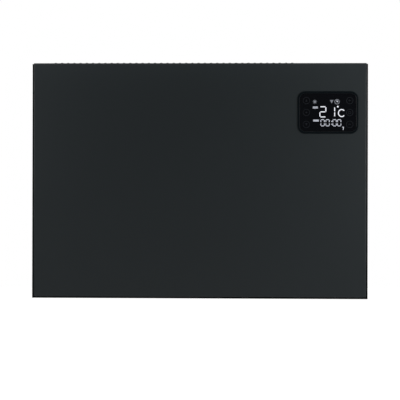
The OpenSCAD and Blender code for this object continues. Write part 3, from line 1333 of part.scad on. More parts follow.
module cord_clamp() color("#d9d7cd") difference() {
    union() {
        block([cx - clamp_w / 2, cx + clamp_w / 2], [cy + cord_r + clamp_gap, y_in], [clamp_z, clamp_z + clamp_h]);
        block([cx - clamp_w / 2, cx + clamp_w / 2], [cy - cord_r - clamp_gap - clamp_bar, cy - cord_r - clamp_gap],
              [clamp_z, clamp_z + clamp_h]);
        for (s = [-1, 1]) translate([cx + s * clamp_screw_x, 0, clamp_z + clamp_h / 2])
            rod_y(cy - cord_r - clamp_gap - clamp_joint, cy + cord_r + clamp_gap + clamp_joint, post_r);
    }
    for (s = [-1, 1]) translate([cx + s * clamp_screw_x, 0, clamp_z + clamp_h / 2])
        rod_y(cy - cord_r - clamp_gap - clamp_bar - 1, y_in - clamp_floor, small_hole_r);
}

module clamp_screws() color("#b8babd") for (s = [-1, 1])
    translate([cx + s * clamp_screw_x, cy - cord_r - clamp_gap - clamp_bar, clamp_z + clamp_h / 2]) rotate(to_front)
        pan_screw(small_r, 2 * cord_r + clamp_bar + 1, small_head_r, small_head_h);

// Tilt switch: a pendulum on a pin in an open housing with a cover, and a reed switch under its floor
module tilt_housing() color("#2c2e31") difference() {
    block([tx - tilt_w / 2, tx + tilt_w / 2], [ty0, y_in], [tz0, tz1]);
    block([tx - tilt_w / 2 + tilt_wall, tx + tilt_w / 2 - tilt_wall], [ty0 - 1, y_in - tilt_wall],
          [tz0 + 2 * tilt_wall, tz1 - tilt_wall]);
    translate([0, pivot_y, pivot_z]) rod_x(tx - tilt_w, tx + tilt_w, pin_r + pivot_clear / 2);
    translate([0, pivot_y, reed_z]) rod_x(tx - reed_l / 2 - reed_gap, tx + reed_l / 2 + reed_gap, reed_r + reed_gap);
    back_holes(tilt_holes);
}

module tilt_cover() color("#3a3d41") block([tx - tilt_w / 2, tx + tilt_w / 2], [ty0 - cover_t, ty0], [tz0, tz1]);

module tilt_pendulum() color("#85888c") translate([0, pivot_y, pivot_z]) difference() {
    union() {
        rod_x(tx - weight_w / 2 + 2, tx + weight_w / 2 - 2, swing_hub_r);
        block([tx - swing_arm, tx + swing_arm], [-2.5, 2.5], [-swing_l, 0]);
        translate([0, 0, -swing_l]) rod_x(tx - weight_w / 2, tx + weight_w / 2, weight_r);
    }
    rod_x(tx - tilt_w, tx + tilt_w, pin_r + pivot_clear);
}

module pendulum_pin() color("#c9ccce") translate([0, pivot_y, pivot_z])
    rod_x(tx - tilt_w / 2, tx + tilt_w / 2, pin_r);

module reed_switch() color("#9fb7a6") translate([0, pivot_y, reed_z])
    rod_x(tx - reed_l / 2, tx + reed_l / 2, reed_r);

wall_bracket_left();
wall_bracket_right();
rear_casing();
front_panel();
outlet_grille();
inlet_grille();
panel_screws();
grille_screws();
back_screws();
wall_bumpers();
rating_plate();
partition_plate();
wire_grommet();
front_shield();
shield_spacers();
rear_shield();
element_fins();
element_rod();
element_insulators();
element_terminals();
element_bracket_left();
element_bracket_right();
thermal_cutout();
cutout_bracket();
element_leads();
power_board();
board_standoffs();
board_screws();
transformer();
relays();
capacitors();
board_connectors();
terminal_block();
mains_leads();
earth_lead();
earth_stud();
earth_nut();
temperature_probe();
probe_bush();
sensor_lead();
display_bezel();
display_window();
display_housing();
display_board();
led_display();
touch_pads();
radio_module();
display_screws();
ribbon_cable();
switch_housing();
power_rocker();
cord_bush();
cord_clamp();
clamp_screws();
tilt_housing();
tilt_cover();
tilt_pendulum();
pendulum_pin();
reed_switch();
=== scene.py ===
import math

import bmesh
import bpy
import numpy as np
from mathutils import Matrix, Vector


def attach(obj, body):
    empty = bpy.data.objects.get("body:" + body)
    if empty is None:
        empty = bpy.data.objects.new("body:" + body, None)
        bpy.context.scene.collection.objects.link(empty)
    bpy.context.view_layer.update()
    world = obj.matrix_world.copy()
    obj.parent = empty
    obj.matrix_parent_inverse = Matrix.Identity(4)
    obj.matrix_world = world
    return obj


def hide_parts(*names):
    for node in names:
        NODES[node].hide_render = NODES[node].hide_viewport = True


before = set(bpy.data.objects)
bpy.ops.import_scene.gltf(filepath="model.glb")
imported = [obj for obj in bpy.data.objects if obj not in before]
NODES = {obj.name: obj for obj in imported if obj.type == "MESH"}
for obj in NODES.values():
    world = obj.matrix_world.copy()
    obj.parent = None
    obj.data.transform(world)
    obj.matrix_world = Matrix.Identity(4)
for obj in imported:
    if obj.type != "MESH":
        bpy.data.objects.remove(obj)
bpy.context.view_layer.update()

# Studio: a pale floor well below the wall-hung heater, a white surround, soft lamps left, right, above and behind,
# and a weak strip close above the front edge, which lights the panel's bend and fades down its face. The camera
# stands 2.5 m in front, a little right of the middle and just below it; its turns are in degrees.
FRONT_Y = -0.080
CAMERA = (0.0789, FRONT_Y - 2.5, -0.0376)
PAN, TILT, ROLL = 1.784, 90.071, 0.133
LENS_MM, SENSOR_MM = 125.91, 36
# Levels of the surround: its soft light on the heater, and what a mirror shows of the camera's side and the far side.
SOFT_GREY, CAMERA_SIDE, FAR_SIDE = 0.29, 0.065, 1.0
WHITE = "#ffffff"


def linear(colour):
    """An sRGB hex colour as linear RGBA: each channel c becomes ((c + 0.055) / 1.055) ** 2.4, or c / 12.92
    when it is small."""
    c = np.array([int(colour[i:i + 2], 16) for i in (1, 3, 5)]) / 255
    c = np.where(c > 0.04045, ((c + 0.055) / 1.055) ** 2.4, c / 12.92)
    return (*(float(x) for x in c), 1.0)


def add(tree, kind, settings=None, links=None):
    """Adds one shader node, sets its properties or sockets by name, and links outputs into its sockets by name or
    number."""
    node = tree.nodes.new(kind)
    for name, value in (settings or {}).items():
        if hasattr(node, name):
            setattr(node, name, value)
        else:
            node.inputs[name].default_value = value
    for name, output in (links or {}).items():
        tree.links.new(output, node.inputs[name])
    return node


def in_scene(name, data):
    """A new object in the scene that shows a mesh, a lamp or a camera."""
    thing = bpy.data.objects.new(name, data)
    bpy.context.scene.collection.objects.link(thing)
    return thing


camera_data = bpy.data.cameras.new("camera")
camera_data.sensor_width = SENSOR_MM
camera_data.lens = LENS_MM
camera_data.clip_end = 50
camera = in_scene("camera", camera_data)
camera.matrix_world = (Matrix.Translation(CAMERA)
                       @ Matrix.Rotation(math.radians(PAN), 4, "Z")
                       @ Matrix.Rotation(math.radians(TILT), 4, "X")
                       @ Matrix.Rotation(math.radians(ROLL), 4, "Z"))
bpy.context.scene.camera = camera
bpy.context.scene.view_settings.view_transform = "Standard"

# The surround is white to the camera, and to reflections behind the heater, while the side of the camera stays dim,
# as a studio is behind its lamps. Other rays see an even soft grey.
world = bpy.data.worlds.new("studio")
world.use_nodes = True
sky = world.node_tree
sky.nodes.clear()
ray = add(sky, "ShaderNodeLightPath")
heading = add(sky, "ShaderNodeTexCoord")
axes = add(sky, "ShaderNodeSeparateXYZ", {}, {0: heading.outputs["Generated"]})
behind = add(sky, "ShaderNodeMapRange",
             {"interpolation_type": "SMOOTHSTEP", "From Min": -0.1, "From Max": 0.5,
              "To Min": CAMERA_SIDE, "To Max": FAR_SIDE}, {"Value": axes.outputs["Y"]})
seen = add(sky, "ShaderNodeMath", {"operation": "MAXIMUM"},
           {0: ray.outputs["Is Glossy Ray"], 1: ray.outputs["Is Transmission Ray"]})
mirrored = add(sky, "ShaderNodeMath", {"operation": "MULTIPLY"}, {0: seen.outputs[0], 1: behind.outputs[0]})
white = add(sky, "ShaderNodeMath", {"operation": "MAXIMUM"},
            {0: ray.outputs["Is Camera Ray"], 1: mirrored.outputs[0]})
reflected = add(sky, "ShaderNodeMath", {"operation": "MAXIMUM"},
                {0: ray.outputs["Is Camera Ray"], 1: seen.outputs[0]})
soft_grey = add(sky, "ShaderNodeBackground", {"Color": linear(WHITE), "Strength": SOFT_GREY})
plain_white = add(sky, "ShaderNodeBackground", {"Color": linear(WHITE)}, {"Strength": white.outputs[0]})
both = add(sky, "ShaderNodeMixShader", {},
           {0: reflected.outputs[0], 1: soft_grey.outputs[0], 2: plain_white.outputs[0]})
add(sky, "ShaderNodeOutputWorld", {}, {"Surface": both.outputs[0]})
bpy.context.scene.world = world

# Each lamp has its place, the point it faces and its two sides in metres, and its watts.
for name, place, target, size, watts in (
        ("lamp_left", (-0.74, -0.38, 0.20), (-0.15, FRONT_Y, 0.0), (0.5, 0.5), 3.2),
        ("lamp_right", (0.78, -0.42, 0.18), (0.15, FRONT_Y, 0.0), (0.5, 0.5), 6.7),
        ("lamp_above", (0.0, -0.45, 1.55), (0.0, FRONT_Y, 0.1), (1.2, 1.2), 2.1),
        ("lamp_edge", (-0.02, -0.105, 0.25), (-0.02, FRONT_Y, 0.15), (0.62, 0.015), 0.115),
        ("lamp_behind", (0.3, 1.9, 0.9), (0.0, 0.0, 0.0), (1.4, 1.4), 9.0)):
    lamp_data = bpy.data.lights.new(name, "AREA")
    lamp_data.shape = "RECTANGLE"
    lamp_data.size, lamp_data.size_y = size
    lamp_data.energy = watts
    lamp = in_scene(name, lamp_data)
    lamp.visible_camera = False
    aim = (Vector(target) - Vector(place)).to_track_quat("-Z", "Y")
    lamp.matrix_world = Matrix.Translation(place) @ aim.to_matrix().to_4x4()

# Floor: plain pale board, round, white to the camera and to reflections where no shadow falls.
FLOOR_Z = -0.56
FLOOR_RADIUS, FLOOR_CORNERS = 6.0, 96
FLOOR_COLOUR, FLOOR_GLOW = "#e9e9e7", 0.8


def empty_material(name):
    """A new material and its node tree, which is empty."""
    material = bpy.data.materials.new(name)
    material.use_nodes = True
    material.node_tree.nodes.clear()
    return material, material.node_tree


turn = np.linspace(0, 2 * np.pi, FLOOR_CORNERS, endpoint=False)
round_edge = np.c_[FLOOR_RADIUS * np.cos(turn), FLOOR_RADIUS * np.sin(turn), np.full(FLOOR_CORNERS, FLOOR_Z)]
floor_mesh = bpy.data.meshes.new("floor")
floor_mesh.from_pydata(round_edge.tolist(), [], [list(range(FLOOR_CORNERS))])
floor = in_scene("floor", floor_mesh)
board, wood = empty_material("pale_board")
look = add(wood, "ShaderNodeLightPath")
look_or_mirror = add(wood, "ShaderNodeMath", {"operation": "MAXIMUM"},
                     {0: look.outputs["Is Camera Ray"], 1: look.outputs["Is Glossy Ray"]})
look_any = add(wood, "ShaderNodeMath", {"operation": "MAXIMUM"},
               {0: look_or_mirror.outputs[0], 1: look.outputs["Is Transmission Ray"]})
matt = add(wood, "ShaderNodeBsdfDiffuse", {"Color": linear(FLOOR_COLOUR)})
bright = add(wood, "ShaderNodeEmission", {"Color": linear(WHITE), "Strength": FLOOR_GLOW})
lit = add(wood, "ShaderNodeAddShader", {}, {0: matt.outputs[0], 1: bright.outputs[0]})
shown = add(wood, "ShaderNodeMixShader", {}, {0: look_any.outputs[0], 1: matt.outputs[0], 2: lit.outputs[0]})
add(wood, "ShaderNodeOutputMaterial", {}, {"Surface": shown.outputs[0]})
floor_mesh.materials.append(board)

# Front panel: one folded sheet of 1.5 mm steel, phosphated and powder coated in satin anthracite.
# The coat shows a very fine orange peel and a faint cloudiness; its folded edges are rounded by the thick coat.
PANEL_COLOUR = "#1a1f21"
PEEL_MM = 1.6
# Points this close in metres are one point, and faces this close in angle lie in one plane.
SAME_POINT, SAME_PLANE = 2e-6, math.radians(0.4)


def toned(tree, colour, factor):
    """A colour times a value that another node gives: each of r, g and b times the factor."""
    scaled = add(tree, "ShaderNodeVectorMath", {"operation": "SCALE"}, {"Scale": factor})
    scaled.inputs[0].default_value = linear(colour)[:3]
    return scaled.outputs[0]


def surface(name, colour, roughness, metallic=0.0, cloud=(60, 0.04), grain=(0.7, 0.04), relief=0.01,
            rough_spread=0.05, stretch=(1, 1, 1), cells=0.0, **sockets):
    """A Principled material on Object coordinates. Colour = base * (1 + wide pattern) * (1 + grain), each centred
    on zero, with its size in millimetres and its amount given. The wide pattern is soft noise, or crystal cells of
    a size in millimetres. Roughness = base + 2 * spread * (grain - 1/2), and the bump is the grain, relief
    millimetres deep. stretch lowers the grain's frequency along an axis, as drawing or brushing does."""
    material, tree = empty_material(name)
    place = add(tree, "ShaderNodeTexCoord")
    scaled = add(tree, "ShaderNodeMapping", {"Scale": stretch}, {"Vector": place.outputs["Object"]})
    if cells:
        wide = add(tree, "ShaderNodeTexVoronoi", {"Scale": 1000 / cells}, {"Vector": place.outputs["Object"]})
        wide_value = wide.outputs["Color"]
    else:
        wide = add(tree, "ShaderNodeTexNoise", {"Scale": 1000 / cloud[0], "Detail": 3.0},
                   {"Vector": place.outputs["Object"]})
        wide_value = wide.outputs[0]
    fine = add(tree, "ShaderNodeTexNoise", {"Scale": 1000 / grain[0], "Detail": 2.0}, {"Vector": scaled.outputs[0]})
    wide_part = add(tree, "ShaderNodeMapRange", {"To Min": 1 - 2 * cloud[1], "To Max": 1 + 2 * cloud[1]},
                    {"Value": wide_value})
    fine_part = add(tree, "ShaderNodeMapRange", {"To Min": 1 - 2 * grain[1], "To Max": 1 + 2 * grain[1]},
                    {"Value": fine.outputs[0]})
    shade = add(tree, "ShaderNodeMath", {"operation": "MULTIPLY"}, {0: wide_part.outputs[0], 1: fine_part.outputs[0]})
    rough = add(tree, "ShaderNodeMapRange", {"To Min": roughness - rough_spread, "To Max": roughness + rough_spread},
                {"Value": fine.outputs[0]})
    bump = add(tree, "ShaderNodeBump", {"Strength": 0.6, "Distance": relief / 1000}, {"Height": fine.outputs[0]})
    named = {socket.replace("_", " "): value for socket, value in sockets.items()}
    shader = add(tree, "ShaderNodeBsdfPrincipled", {"Metallic": metallic, **named},
                 {"Base Color": toned(tree, colour, shade.outputs[0]), "Roughness": rough.outputs[0],
                  "Normal": bump.outputs[0]})
    add(tree, "ShaderNodeOutputMaterial", {}, {"Surface": shader.outputs[0]})
    return material


def coat(material, *nodes):
    """Gives each CAD node's own object one material in place of its imported one."""
    for node in nodes:
        NODES[node].data.materials.clear()
        NODES[node].data.materials.append(material)


def shell(node, piece_name, body, material, edge_mm, steps=2, angle=30, inlays=(), join=True):
    """A CAD node's mesh as a new piece: equal points merged, flat triangles joined (but not where a plate has rows
    of slots), each edge sharper than angle degrees rounded to edge_mm, and its normals weighted by face area, so
    broad faces stay flat and edges catch the light. An inlay is (material, low corner, high corner) in millimetres:
    faces whose middle lies in that box take it."""
    mesh = NODES[node].data.copy()
    mesh.name = piece_name
    form = bmesh.new()
    form.from_mesh(mesh)
    bmesh.ops.remove_doubles(form, verts=form.verts, dist=SAME_POINT)
    if join:
        bmesh.ops.dissolve_limit(form, angle_limit=SAME_PLANE, verts=form.verts, edges=form.edges)
    form.to_mesh(mesh)
    form.free()
    mesh.materials.clear()
    mesh.materials.append(material)
    middles = np.zeros((len(mesh.polygons), 3))
    mesh.polygons.foreach_get("center", middles.ravel())
    chosen = np.zeros(len(mesh.polygons), dtype=np.int32)
    for count, (inlay, low, high) in enumerate(inlays, start=1):
        mesh.materials.append(inlay)
        chosen[np.all((middles * 1000 > low) & (middles * 1000 < high), axis=1)] = count
    mesh.polygons.foreach_set("material_index", chosen)
    mesh.shade_smooth()
    piece = in_scene(piece_name, mesh)
    rounding = piece.modifiers.new("edges", "BEVEL")
    rounding.width = edge_mm / 1000
    rounding.segments = steps
    rounding.limit_method = "ANGLE"
    rounding.angle_limit = math.radians(angle)
    rounding.use_clamp_overlap = True
    rounding.miter_outer = "MITER_ARC"
    weights = piece.modifiers.new("normals", "WEIGHTED_NORMAL")
    weights.keep_sharp = False
    weights.weight = 80
    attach(piece, body)
    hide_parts(node)
    return piece


panel_coat = surface("powder_coat_anthracite", PANEL_COLOUR, 0.42, cloud=(140, 0.03), grain=(PEEL_MM, 0.03),
                     relief=0.012, Specular_IOR_Level=0.22)
shell("front_panel", "front_sheet", "heater", panel_coat, 0.3, steps=3)

# Rear casing: a tray of 1 mm steel, folded and spot welded, powder coated in flat black inside and out.
# The coat is coarser and duller than the panel's, as it is thinner. The thin front edge round the panel is painted
# near black, darker than the casing's own coat: painted shade for the dark shadow gap beside the panel.
casing_coat = surface("powder_coat_black", "#131415", 0.6, cloud=(90, 0.06), grain=(0.9, 0.08), relief=0.02,
                      rough_spread=0.08, Specular_IOR_Level=0.25)
# Painted shade: a dull near-black coat on the casing's front rim, so that the rim reads as dark as the gap's shadow.
rim_painted_shade = surface("painted_shade_rim_black", "#030303", 0.85, cloud=(90, 0.05), grain=(0.9, 0.08), relief=0.01,
                     Specular_IOR_Level=0.04)
RIM_FRONT = (-301, -80.05, -212), (301, -79.9, 212)
shell("rear_casing", "casing_tray", "heater", casing_coat, 0.1, inlays=[(rim_painted_shade, *RIM_FRONT)])

# Grilles: 1.5 mm plate above, pressed into round ribs with a slot between each two, and a flat slotted plate below.
# Both are black powder coated, a little glossier than the casing, and screwed on from outside.
grille_coat = surface("powder_coat_grille", "#111214", 0.5, cloud=(80, 0.05), grain=(0.8, 0.06), relief=0.015,
                      Specular_IOR_Level=0.3)
shell("outlet_grille", "outlet_ribs", "heater", grille_coat, 0.15, join=False)
shell("inlet_grille", "inlet_slots", "heater", grille_coat, 0.12, join=False)

# Screws: countersunk ones in black oxide hold the panel and the grilles, and zinc-plated pan heads the rest.
# Black oxide is a dull blue-black skin; zinc plate is bright grey with faint cloudy passivation.
black_oxide = surface("black_oxide_steel", "#26272a", 0.4, metallic=0.75, cloud=(4, 0.08), grain=(0.3, 0.06),
                      relief=0.01)
zinc_plate = surface("zinc_plated_steel", "#b4b9be", 0.3, metallic=1.0, cloud=(3, 0.07), grain=(0.25, 0.05),
                     relief=0.008)
coat(black_oxide, "panel_screws", "grille_screws")
coat(zinc_plate, "back_screws", "board_screws", "display_screws", "clamp_screws", "earth_stud", "pendulum_pin")

# Display bezel: moulded ABS with a fine spark-eroded texture, its sleeve snapped into the panel's cut-out.
# The ring round the glass is flat, semi-gloss and blue-black, with softened edges.
bezel_abs = surface("moulded_abs_blue_black", "#060b0e", 0.3, cloud=(30, 0.03), grain=(0.5, 0.05), relief=0.006,
                    Specular_IOR_Level=0.06, IOR=1.54)
shell("display_bezel", "bezel_ring", "heater", bezel_abs, 0.7, steps=3)

# Display window: 1.8 mm smoked acrylic, back printed in black, bonded to the bezel's ledge.
# It mirrors the dim side of the room sharply and hides what is behind it, apart from what is lit.
smoked_acrylic = surface("smoked_acrylic", "#030407", 0.07, cloud=(40, 0.02), grain=(1.5, 0.02), relief=0.0,
                         rough_spread=0.01, IOR=1.49)
shell("display_window", "window_pane", "heater", smoked_acrylic, 0.2)

# Lit marks: white LED segments and symbols that shine through windows in the black print.
# They are a two-digit temperature, a clock, a small digit and plain status marks, all generic; u runs right and v up
# from the middle of the window, in millimetres. They stand 0.1 mm proud so that they also show in a plain export.
WINDOW_MIDDLE = (0.229, -0.0809, 0.122)
# Widths of the strokes, gaps between the bars of a digit, and the clock digits' wider gap at mid-height.
BIG, CLOCK = 1.75, 1.15
BIG_GAP, CLOCK_GAP = 0.5, 0.4
CLOCK_WAIST = 0.55
LIT = {"0": "abcdef", "1": "bc", "2": "abdeg"}


def stroke(path, width, closed=False):
    """One flat stroke. Its four edge lines are path + side * width / 2 * normal, where the normal is the path's
    tangent turned a quarter and side is 1, -1, -1, 1, at the heights 1, 1, 0, 0 in the third coordinate. Quads join
    neighbouring points, and a quad closes each open end. Returns points (n, 4, 3) and faces."""
    path = np.asarray(path, dtype=float)
    count = len(path)
    along = np.roll(path, -1, 0) - np.roll(path, 1, 0) if closed else np.gradient(path, axis=0)
    normal = np.c_[-along[:, 1], along[:, 0]] / np.linalg.norm(along, axis=1, keepdims=True)
    reach = normal * np.broadcast_to(np.asarray(width, dtype=float) / 2, count)[:, None]
    side = np.array([1, -1, -1, 1])[None, :, None]
    flat = path[:, None, :] + side * reach[:, None, :]
    height = np.broadcast_to(np.array([1, 1, 0, 0])[None, :, None], (count, 4, 1))
    here = np.arange(count if closed else count - 1)[:, None] * 4
    there = (here + 4) % (4 * count)
    corner = np.arange(4)[None, :]
    turned = (corner + 1) % 4
    faces = np.stack([here + corner, here + turned, there + turned, there + corner], axis=-1).reshape(-1, 4)
    if not closed:
        faces = np.r_[faces, [[0, 3, 2, 1]], [[4 * count - 4, 4 * count - 3, 4 * count - 2, 4 * count - 1]]]
    return np.concatenate([flat, height], axis=2), faces


def on_face(piece_name, strokes, origin, right, up, body, material, proud=0.1, sunk=0.05):
    """Strokes set on a flat face: point = origin + u * right + v * up + height * (right x up), where the height runs
    from sunk below the face to proud above it, in millimetres."""
    right, up = np.array(right, dtype=float), np.array(up, dtype=float)
    points, faces, start = [], [], 0
    for flat, quads in strokes:
        u, v, height = flat[..., 0:1], flat[..., 1:2], flat[..., 2:3] * (proud + sunk) - sunk
        placed = np.array(origin) + (u * right + v * up + height * np.cross(right, up)) / 1000
        points.append(placed.reshape(-1, 3))
        faces.append(quads + start)
        start += placed.size // 3
    mesh = bpy.data.meshes.new(piece_name)
    mesh.from_pydata(np.concatenate(points).tolist(), [], np.concatenate(faces).tolist())
    mesh.materials.append(material)
    piece = in_scene(piece_name, mesh)
    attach(piece, body)
    return piece


def bar(start, end, width):
    """A straight LED segment from start to end: half a width inside each end it has its full width, and its tips have
    an eighth of it, so neighbours meet in mitres."""
    start, end = np.array(start, dtype=float), np.array(end, dtype=float)
    step = (end - start) / np.linalg.norm(end - start) * width / 2
    return stroke([start, start + step, end - step, end], [width / 8, width, width, width / 8])


def digit(shown, u, v, width, gap, waist=0.0):
    """A seven-segment digit in the box u, v: each bar runs between two corners or mid-points of the box drawn in by
    half the stroke's width, and stops a gap short of both. The upright bars stop short of the middle by waist
    more."""
    left, right, low, high = u[0] + width / 2, u[1] - width / 2, v[0] + width / 2, v[1] - width / 2
    middle = (low + high) / 2
    over, under = middle + waist, middle - waist
    ends = {"a": ((left, high), (right, high)), "b": ((right, over), (right, high)),
            "c": ((right, low), (right, under)), "d": ((left, low), (right, low)),
            "e": ((left, low), (left, under)), "f": ((left, over), (left, high)),
            "g": ((left, middle), (right, middle))}
    bars = []
    for name in LIT[shown]:
        a, b = np.array(ends[name][0]), np.array(ends[name][1])
        short = (b - a) / np.linalg.norm(b - a) * gap
        bars.append(bar(a + short, b - short, width))
    return bars


def arc(middle, radii, angles, count=40):
    """Points on an ellipse: middle + radii * (cos a, sin a) as a runs over angles, in degrees."""
    a = np.radians(np.linspace(angles[0], angles[1], count))
    return np.c_[middle[0] + radii[0] * np.cos(a), middle[1] + radii[1] * np.sin(a)]


def ring(middle, radius, width, count=40):
    """A closed ring of even width."""
    return stroke(arc(middle, (radius, radius), (0, 360 * (1 - 1 / count)), count), width, closed=True)


def disc(middle, radius, count=13):
    """A round dot: a straight stroke across it, whose width at distance t from the middle is 2 * sqrt(r^2 - t^2)."""
    t = radius * np.sin(np.linspace(-0.99, 0.99, count) * np.pi / 2)
    path = np.c_[middle[0] + t, np.full(count, middle[1])]
    return stroke(path, 2 * np.sqrt(radius ** 2 - t ** 2))


def led(name, colour):
    """LED light under smoked acrylic: emission in one colour, a few per cent uneven as a diffuser film is."""
    material, tree = empty_material(name)
    place = add(tree, "ShaderNodeTexCoord")
    film = add(tree, "ShaderNodeTexNoise", {"Scale": 900.0, "Detail": 1.0}, {"Vector": place.outputs["Object"]})
    level = add(tree, "ShaderNodeMapRange", {"To Min": 0.92, "To Max": 1.08}, {"Value": film.outputs[0]})
    shader = add(tree, "ShaderNodeBsdfPrincipled",
                 {"Base Color": linear("#101216"), "Roughness": 0.2, "IOR": 1.49, "Emission Strength": 1.0},
                 {"Emission Color": toned(tree, colour, level.outputs[0])})
    add(tree, "ShaderNodeOutputMaterial", {}, {"Surface": shader.outputs[0]})
    return material


# The temperature: two digits, a degree dot and an open arc for its scale.
bright_marks = digit("2", (-15.3, -3.0), (-8.8, 11.1), BIG, BIG_GAP)
bright_marks += digit("1", (-0.2, 12.7), (-8.5, 10.7), BIG, BIG_GAP)
bright_marks += [disc((17.4, 10.3), 1.6), stroke(arc((24.3, -1.0), (5.8, 6.3), (42, 318)), BIG)]
# The clock: four digits and two dots, then the small digit and two plain bars.
DIGIT_W = 7.3
clock_marks = []
for left in (-13.3, -4.4, 8.0, 16.2):
    clock_marks += digit("0", (left, left + DIGIT_W), (-24.5, -12.2), CLOCK, CLOCK_GAP, CLOCK_WAIST)
clock_marks += [disc((6.6, -15.9), 0.8), disc((6.6, -20.8), 0.8)]
clock_marks += [stroke([(25.3, -26.0), (28.2, -26.0)], 1.0), stroke([(27.7, -26.4), (26.8, -31.0)], 1.0)]
clock_marks += [bar((-26.7, v), (-16.1, v), 1.2) for v in (-13.5, -15.3)]
# The two hands of the small dial, and three more bars.
clock_marks += [stroke([(15.9, 21.6), (15.9, 19.3)], 1.2), stroke([(15.4, 19.1), (17.9, 19.1)], 1.1)]
clock_marks += [stroke([(-27.1, v), (-18.2, v)], 0.75) for v in (10.2, 8.9, 7.6)]
# The status marks: the small dial's ring, a wedge, and a dot with eight rays.
SUN, RAY_FROM, RAY_TO = np.array((-23.6, 19.1)), 2.6, 3.6
dim_marks = [ring((15.9, 19.1), 4.0, 1.2), stroke([(6.4, 22.2), (6.4, 16.4)], [6.4, 0.3]), disc(SUN, 2.1)]
for a in np.radians(np.arange(8) * 45):
    outward = np.array((np.cos(a), np.sin(a)))
    dim_marks.append(stroke([SUN + RAY_FROM * outward, SUN + RAY_TO * outward], 1.0))
for name, marks, colour in (("temperature", bright_marks, "#f0f1f8"), ("clock", clock_marks, "#d3d6e1"),
                            ("status", dim_marks, "#7b7d84")):
    on_face("lit_" + name, marks, WINDOW_MIDDLE, (1, 0, 0), (0, 0, 1), "heater",
            led("led_" + name, colour))

# Touch keys: six rings with plain generic glyphs, screen printed in dark grey on the window.
# The ink is matt against the glass, and only just shows.
KEY_U, KEY_V, KEY_R = 38.5, 21.2, 5.8
# Width of a printed line, half a glyph's width, and the gap where the lines of the plus cross; then an arrow's base
# and tip, and how far its base lies from the key's middle.
INK, ARM, CLEAR = 0.8, 2.2, 0.45
BASE_W, TIP_W, BASE_V = 3.8, 0.3, 1.8
key_marks = []
for u in (-KEY_U, KEY_U):
    for v in (-KEY_V, 0.0, KEY_V):
        key_marks.append(ring((u, v), KEY_R, INK))
plus = [stroke([(KEY_U - ARM, KEY_V), (KEY_U + ARM, KEY_V)], INK),
        stroke([(KEY_U, KEY_V - ARM), (KEY_U, KEY_V - CLEAR)], INK),
        stroke([(KEY_U, KEY_V + CLEAR), (KEY_U, KEY_V + ARM)], INK)]
minus = [stroke([(KEY_U - ARM, -KEY_V), (KEY_U + ARM, -KEY_V)], INK)]
arrow_up = [stroke([(-KEY_U, KEY_V - BASE_V), (-KEY_U, KEY_V + ARM)], [BASE_W, TIP_W])]
arrow_down = [stroke([(-KEY_U, -KEY_V - ARM), (-KEY_U, -KEY_V + BASE_V)], [TIP_W, BASE_W])]
stand_by = [stroke(arc((KEY_U, 0.0), (2.3, 2.3), (125, 415)), INK), stroke([(KEY_U, 0.6), (KEY_U, 3.0)], INK)]
key_marks += plus + minus + arrow_up + arrow_down + stand_by + [disc((-KEY_U, 0.0), 1.3)]
key_ink = surface("screen_print_grey", "#0d1015", 0.5, cloud=(10, 0.05), grain=(0.4, 0.08), relief=0.003,
                  Specular_IOR_Level=0.15)
on_face("key_print", key_marks, WINDOW_MIDDLE, (1, 0, 0), (0, 0, 1), "heater", key_ink, proud=0.06)

# Display housing: a black ABS tub bonded to the back of the panel, with four posts for the display board.
# It is matt inside and out, with a fine moulded grain.
black_abs = surface("moulded_abs_black", "#17181a", 0.52, cloud=(25, 0.04), grain=(0.6, 0.07), relief=0.012, IOR=1.54)
coat(black_abs, "display_housing")

# Boards: 1.6 mm glass-epoxy laminate with copper tracks under green solder mask, screwed to posts and standoffs.
# The tracks show as paler lines 1.9 mm apart, and white connectors, screened radio and dark parts stand on them.
TRACK_MM = 1.9


def printed_board(name, mask, tracks):
    """Green laminate: a brick pattern in the board's plane, whose joints are the tracks, 0.35 mm wide and every
    TRACK_MM, between areas of mask in two close greens."""
    material, tree = empty_material(name)
    place = add(tree, "ShaderNodeTexCoord")
    laid = add(tree, "ShaderNodeMapping", {"Rotation": (math.radians(-90), 0, 0)},
               {"Vector": place.outputs["Object"]})
    copper = add(tree, "ShaderNodeTexBrick",
                 {"Color1": linear(mask[0]), "Color2": linear(mask[1]), "Mortar": linear(tracks),
                  "Scale": 1000 / TRACK_MM, "Mortar Size": 0.09, "Brick Width": 11.0, "Row Height": 1.0,
                  "offset": 0.37, "offset_frequency": 3, "squash": 0.6, "squash_frequency": 4},
                 {"Vector": laid.outputs[0]})
    raised = add(tree, "ShaderNodeBump", {"Strength": 0.4, "Distance": 0.00003}, {"Height": copper.outputs["Fac"]})
    shader = add(tree, "ShaderNodeBsdfPrincipled", {"Roughness": 0.28, "IOR": 1.5},
                 {"Base Color": copper.outputs["Color"], "Normal": raised.outputs[0]})
    add(tree, "ShaderNodeOutputMaterial", {}, {"Surface": shader.outputs[0]})
    return material


green_board = printed_board("solder_mask_green", ("#16442a", "#1a4c30"), "#2f6b45")
white_nylon = surface("moulded_nylon_white", "#e2dfd3", 0.48, cloud=(12, 0.03), grain=(0.5, 0.04), relief=0.008,
                      IOR=1.53)
tinned_can = surface("tinned_steel", "#b5b7b8", 0.33, metallic=1.0, cloud=(6, 0.06), grain=(0.4, 0.05), relief=0.006)
brass = surface("rolled_brass", "#b99a50", 0.3, metallic=1.0, cloud=(5, 0.06), grain=(0.3, 0.05), relief=0.006)
RIBBON_SOCKET = (219, -70.35, 90), (239, -64, 102)
RADIO_BOARD = (188, -71, 112), (214, -69.4, 132)
PLUG_CONTACTS = (190, -36, -86.2), (258, -26.7, -84.5)
shell("display_board", "display_laminate", "heater", green_board, 0.12,
      inlays=[(white_nylon, *RIBBON_SOCKET)])
shell("radio_module", "radio_can", "heater", tinned_can, 0.15, inlays=[(green_board, *RADIO_BOARD)])
coat(green_board, "power_board")
coat(white_nylon, "board_standoffs", "probe_bush")
shell("board_connectors", "board_plugs", "heater", white_nylon, 0.2,
      inlays=[(brass, *PLUG_CONTACTS)])

